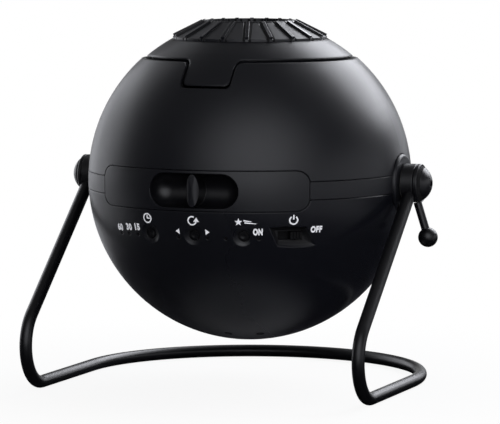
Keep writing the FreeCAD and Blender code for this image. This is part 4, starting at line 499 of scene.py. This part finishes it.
# Marks beside the controls, screen printed in white on the lower shell: minutes beside the timer's
# lights, a clock, a circular arrow with its two directions, a star, a power sign, and ON and OFF.
# They are drawn flat in millimetres and one geometry tree wraps them round the ball.
MILLIMETRE = 0.001
MARK_LATITUDE = -0.245
PRINT_THICKNESS = 0.00003
ARC_STEPS = 28
CAPITAL_SHARE = 0.70
BOLD_SHARE = 0.085
FIGURE_SPACING = 1.12
FIGURE_STEPS = 4


def on_parallel(azimuth, height_share):
    """Flat place of a point on the ball: along the marks' parallel and up the meridian, in millimetres."""
    around = math.radians(azimuth) * BALL_RADIUS * math.cos(MARK_LATITUDE) / MILLIMETRE
    up = (math.asin(height_share) - MARK_LATITUDE) * BALL_RADIUS / MILLIMETRE
    return Vector((around, up, 0))


def flat_polygon(target, place, corners):
    target.faces.new([target.verts.new(place + Vector((x, y, 0))) for x, y in corners])


def flat_bar(target, place, low, high):
    flat_polygon(target, place, [low, (high[0], low[1]), high, (low[0], high[1])])


def flat_arc(target, place, radius, width, start, stop):
    """Part of a ring, drawn as a row of small faces between two angles in degrees."""
    rows = []
    for step in range(ARC_STEPS + 1):
        turn = math.radians(start + (stop - start) * step / ARC_STEPS)
        rows.append([target.verts.new(place + Vector((reach * math.cos(turn), reach * math.sin(turn), 0)))
                     for reach in (radius - width / 2, radius + width / 2)])
    for (low, high), (next_low, next_high) in zip(rows, rows[1:]):
        target.faces.new([low, high, next_high, next_low])


def flat_figures(target, place, figures, tall, narrow):
    """Bold narrow figures or letters of this height, centred on the place."""
    line = bpy.data.curves.new(figures, "FONT")
    line.body = figures
    line.align_x = "CENTER"
    line.align_y = "CENTER"
    line.size = tall / CAPITAL_SHARE
    line.offset = BOLD_SHARE * tall
    line.space_character = FIGURE_SPACING
    line.resolution_u = FIGURE_STEPS
    writer = bpy.data.objects.new(figures, line)
    bpy.context.scene.collection.objects.link(writer)
    written = bpy.data.meshes.new_from_object(writer.evaluated_get(bpy.context.evaluated_depsgraph_get()))
    written.transform(Matrix.Translation(place) @ Matrix.Diagonal((narrow, 1.0, 1.0, 1.0)))
    target.from_mesh(written)
    bpy.data.objects.remove(writer)
    bpy.data.meshes.remove(written)


print_sheet = bmesh.new()
for figures, azimuth, height_share, tall, narrow in (
        ("60", -33.5, -0.250, 2.7, 0.90), ("30", -28.3, -0.243, 2.7, 0.88), ("15", -24.0, -0.238, 2.7, 0.86),
        ("ON", 23.2, -0.243, 2.6, 0.66), ("OFF", 44.4, -0.234, 2.5, 0.76)):
    flat_figures(print_sheet, on_parallel(azimuth, height_share), figures, tall, narrow)

CLOCK_RADIUS = 1.90
CLOCK_STROKE = 0.60
HAND_HALF_WIDTH = 0.28
LONG_HAND = 1.25
SHORT_HAND = 1.20
clock = on_parallel(-18.2, -0.176)
flat_arc(print_sheet, clock, CLOCK_RADIUS, CLOCK_STROKE, 0, 360)
flat_bar(print_sheet, clock, (-HAND_HALF_WIDTH, -HAND_HALF_WIDTH), (HAND_HALF_WIDTH, LONG_HAND))
flat_bar(print_sheet, clock, (HAND_HALF_WIDTH, -HAND_HALF_WIDTH), (SHORT_HAND, 0.26))

ARROW_RADIUS = 1.75
ARROW_STROKE = 0.62
turning = on_parallel(-0.1, -0.178)
flat_arc(print_sheet, turning, ARROW_RADIUS, ARROW_STROKE, 60, 345)
flat_polygon(print_sheet, turning + Vector((ARROW_RADIUS, -0.15, 0)),
             [(-1.30, -0.30), (1.30, -0.30), (0.10, 1.55)])
for azimuth, way in ((-5.9, -1), (5.2, 1)):
    flat_polygon(print_sheet, on_parallel(azimuth, -0.245),
                 [(way * 1.05, 0), (way * -0.75, way * 1.25), (way * -0.75, way * -1.25)])

STAR_POINTS = 5
STAR_TIP = 1.75
STAR_NOTCH = 0.72
star = on_parallel(16.4, -0.181)
star_steps = [math.pi / STAR_POINTS * step for step in range(2 * STAR_POINTS)]
flat_polygon(print_sheet, star, [(reach * math.sin(turn), reach * math.cos(turn))
                                 for turn, reach in zip(star_steps, [STAR_TIP, STAR_NOTCH] * STAR_POINTS)])
for middle, start, stop in ((0.62, 2.1, 5.2), (-0.30, 2.5, 7.2)):
    flat_polygon(print_sheet, star, [(start, middle - 0.28), (stop, middle - 0.62),
                                     (stop + 0.2, middle - 0.32), (start, middle + 0.34)])

POWER_RADIUS = 1.70
POWER_STROKE = 0.62
power = on_parallel(35.7, -0.172)
flat_arc(print_sheet, power, POWER_RADIUS, POWER_STROKE, 125, 415)
flat_bar(print_sheet, power, (-POWER_STROKE / 2, 0.25), (POWER_STROKE / 2, 2.25))

bmesh.ops.triangulate(print_sheet, faces=print_sheet.faces)
bmesh.ops.scale(print_sheet, vec=(MILLIMETRE,) * 3, verts=print_sheet.verts)
flat_marks = bpy.data.meshes.new("flat_marks")
print_sheet.to_mesh(flat_marks)
print_sheet.free()


def geometry_tree(name, **inputs):
    """A geometry tree with named inputs of these socket kinds. Gives its recipe and the inputs as wires."""
    tree = bpy.data.node_groups.new(name, "GeometryNodeTree")
    tree.interface.new_socket("Geometry", in_out="INPUT", socket_type="NodeSocketGeometry")
    for label, kind in inputs.items():
        tree.interface.new_socket(label.replace("_", " "), in_out="INPUT", socket_type=f"NodeSocket{kind}")
    tree.interface.new_socket("Geometry", in_out="OUTPUT", socket_type="NodeSocketGeometry")
    recipe = Recipe(tree)
    entry = recipe.node("NodeGroupInput").socket.node.outputs
    return recipe, {socket.name: Wire(recipe, socket) for socket in entry if socket.name}


def close_tree(recipe, geometry, material):
    """Realizes the instances, gives all of it one material and ends the tree."""
    solid = recipe.node("GeometryNodeRealizeInstances", (), {"Geometry": geometry})
    coated = recipe.node("GeometryNodeSetMaterial", (), {"Geometry": solid, "Material": material})
    recipe.node("NodeGroupOutput", (), {0: coated})


def grown_piece(name, mesh, recipe, values):
    """Runs a geometry tree on a mesh once. Gives a new object with the plain mesh that comes out, in its
    one material."""
    carrier = bpy.data.objects.new(name, mesh)
    bpy.context.scene.collection.objects.link(carrier)
    modifier = carrier.modifiers.new(name, "NODES")
    modifier.node_group = recipe.owner
    for socket in recipe.owner.interface.items_tree:
        if socket.in_out == "INPUT" and socket.name in values:
            modifier[socket.identifier] = values[socket.name]
    grown = bpy.data.meshes.new_from_object(carrier.evaluated_get(bpy.context.evaluated_depsgraph_get()))
    bpy.data.objects.remove(carrier)
    coat = grown.materials[-1]
    grown.materials.clear()
    grown.materials.append(coat)
    grown.polygons.foreach_set("material_index", [0] * len(grown.polygons))
    grown.name = name
    piece = bpy.data.objects.new(name, grown)
    bpy.context.scene.collection.objects.link(piece)
    return piece


wrap, given = geometry_tree("wrap_round_ball", Ball_radius="Float", Ball_centre="Vector", Latitude="Float",
                            Proud="Float", Ink="Material")
flat_x, flat_y, _ = wrap.split(wrap.node("GeometryNodeInputPosition"))
latitude = flat_y / given["Ball radius"] + given["Latitude"]
longitude = flat_x / (given["Ball radius"] * given["Latitude"].math("COSINE"))
level_share = latitude.math("COSINE")
outward = wrap.node("ShaderNodeCombineXYZ", (), {0: longitude.math("SINE") * level_share,
                                                 1: longitude.math("COSINE") * level_share * -1,
                                                 2: latitude.math("SINE")})
on_skin = wrap.node("ShaderNodeVectorMath", {"operation": "SCALE"},
                    {0: outward, "Scale": given["Ball radius"] + given["Proud"]})
on_skin = wrap.node("ShaderNodeVectorMath", {"operation": "ADD"}, {0: on_skin, 1: given["Ball centre"]})
wrapped = wrap.node("GeometryNodeSetPosition", (), {"Geometry": given["Geometry"], "Position": on_skin})
close_tree(wrap, wrapped, given["Ink"])

FRESH_INK = (0.95, 0.95, 0.96)
WORN_INK = (0.62, 0.62, 0.63)
ink = finish_named("white_print")
worn = ink.rise(ink.speckle(0.0004, 4.0), 0.62, 0.78) * 0.3
ink.surface(ink.tint(worn, FRESH_INK, WORN_INK), 0.45, ink.speckle(0.0002, 2.0), 0.000004)
printed_marks = grown_piece("printed_marks", flat_marks, wrap, {
    "Ball radius": BALL_RADIUS, "Ball centre": BALL_CENTRE, "Latitude": MARK_LATITUDE,
    "Proud": PRINT_THICKNESS, "Ink": ink.owner})
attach(printed_marks, "ball")


# The front and rear lenses in the focusing barrel and the condenser over the lamp are moulded in clear
# acrylic and polished.
acrylic = mottled("acrylic_lens", (0.93, 0.96, 0.97), (0.98, 0.99, 1.0), patches=(0.012,),
                  roughness=(0.02, 0.05, 0.004), Transmission_Weight=1.0, IOR=1.49)
dress(acrylic, "front_lens", "rear_lens", "condenser_lens")


# The control, power and lamp boards are cut from green resin-coated glass cloth, whose weave shows
# faintly.
board_green = finish_named("circuit_board")
weave = board_green.node("ShaderNodeTexWave", {"bands_direction": "DIAGONAL"},
                         {"Vector": board_green.place(), "Scale": 900.0, "Distortion": 1.5}, "Fac")
shade = board_green.tint(weave, (0.006, 0.075, 0.028), (0.012, 0.12, 0.045))
board_green.surface(shade, 0.35, weave, 0.00001)
dress(board_green, "control_board", "power_board", "lamp_board")


# The lamp is a dome of yellow phosphor in clear resin, cast on the lamp board under the condenser
# lens.
phosphor = mottled("lamp_phosphor", (0.82, 0.66, 0.12), (0.90, 0.78, 0.24), patches=(0.0008,),
                   roughness=0.25, grain=(0.0004,), depth=0.00001)
dress(phosphor, "lamp_emitter")


# The heat sink behind the lamp board is extruded in aluminium and sawn to length. The can of the gear
# motor has the same plain metal skin.
aluminium = mottled("extruded_aluminium", (0.52, 0.53, 0.54), (0.66, 0.67, 0.68), patches=(0.004, 4.0),
                    roughness=(0.3, 0.5, 0.001), grain=(0.0004, 3.0, (6, 1, 1)), depth=0.00001, Metallic=1.0)
dress(aluminium, "heat_sink", "gear_motor")


# The drive's gears and the disc's toothed rim are moulded in natural acetal, creamy and a little waxy.
# The idler turns on its post and the pinion on the motor's shaft.
acetal = mottled("natural_acetal", (0.70, 0.67, 0.60), (0.78, 0.76, 0.69), patches=(0.01,),
                 roughness=(0.38, 0.48, 0.004), grain=(0.0005,), depth=0.00001)
dress(acetal, "star_disc_gear", "idler_gear", "motor_pinion")


# The star film is a clear sheet with a black coat, held in the toothed rim by its clamp ring. Its stars
# are clear dots left in the coat, thicker along one band of the sky. One tree scatters them over a sheet
# as wide as the film and gives each its own size.
film = mottled("star_film_black", (0.006, 0.006, 0.009), (0.010, 0.010, 0.014), patches=(0.01,),
               roughness=(0.14, 0.20, 0.003), grain=(0.0006,), depth=0.000004)
dress(film, "star_film")

film_low, film_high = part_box("star_film")
FILM_RADIUS = (film_high[0] - film_low[0]) / 2
STAR_SEED = 11
STARS_PER_SQUARE_METRE = 400000.0
LARGEST_STAR = 0.00042
SMALLEST_STAR_SHARE = 0.26
STAR_SIZE_POWER = 7.0
ABOVE_FILM = 0.00002
SHEET_STEPS = 61
DOT_CORNERS = 6
SKY_SHARE = 0.88
BAND_WIDTH_SHARE = 0.30
BAND_OFFSET_SHARE = 0.12
BAND_SLOPE_X = 0.82
BAND_SLOPE_Y = 0.57
BAND_FALL = 0.1
BAND_CROWD = 3.5
SKY_CROWD = 0.5

chart, given = geometry_tree("star_scatter", Sheet_radius="Float", Sheet_height="Float",
                             Stars_per_area="Float", Band_width="Float", Largest_star="Float", Seed="Int",
                             Dot="Material")
across = given["Sheet radius"] * 2
sheet = chart.node("GeometryNodeMeshGrid", (), {
    "Size X": across, "Size Y": across, "Vertices X": SHEET_STEPS, "Vertices Y": SHEET_STEPS})
sheet_x, sheet_y, _ = chart.split(chart.node("GeometryNodeInputPosition"))
from_middle = (sheet_x * sheet_x + sheet_y * sheet_y).math("SQRT")
within = from_middle.math("LESS_THAN", given["Sheet radius"] * SKY_SHARE)
off_band = abs(sheet_x * BAND_SLOPE_X - sheet_y * BAND_SLOPE_Y + given["Sheet radius"] * BAND_OFFSET_SHARE)
off_band = off_band / given["Band width"]
crowd = chart.math("POWER", BAND_FALL, off_band * off_band) * BAND_CROWD + SKY_CROWD
scatter = chart.node("GeometryNodeDistributePointsOnFaces", {"distribute_method": "RANDOM"}, {
    "Mesh": sheet, "Density": given["Stars per area"] * crowd * within, "Seed": given["Seed"]})
chance = chart.node("FunctionNodeRandomValue", {"data_type": "FLOAT"}, {"Seed": given["Seed"]}, 1)
size = chance.math("POWER", STAR_SIZE_POWER) * (1 - SMALLEST_STAR_SHARE) + SMALLEST_STAR_SHARE
dot = chart.node("GeometryNodeMeshCircle", {"fill_type": "NGON"},
                 {"Vertices": DOT_CORNERS, "Radius": given["Largest star"]})
dots = chart.node("GeometryNodeInstanceOnPoints", (), {"Points": scatter, "Instance": dot, "Scale": size})
dots = chart.node("GeometryNodeTransform", (), {
    "Geometry": dots, "Translation": chart.node("ShaderNodeCombineXYZ", (), {2: given["Sheet height"]})})
close_tree(chart, dots, given["Dot"])

clear_dot = mottled("clear_star_dot", (0.62, 0.66, 0.72), (0.86, 0.87, 0.86), patches=(0.003,),
                    roughness=0.30, grain=(0.0003,), depth=0.000003)
star_dots = grown_piece("star_dots", bpy.data.meshes.new("star_seed"), chart, {
    "Sheet radius": FILM_RADIUS, "Sheet height": film_high[2] + ABOVE_FILM,
    "Stars per area": STARS_PER_SQUARE_METRE, "Band width": FILM_RADIUS * BAND_WIDTH_SHARE,
    "Largest star": LARGEST_STAR, "Seed": STAR_SEED, "Dot": clear_dot.owner})
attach(star_dots, "star_disc")
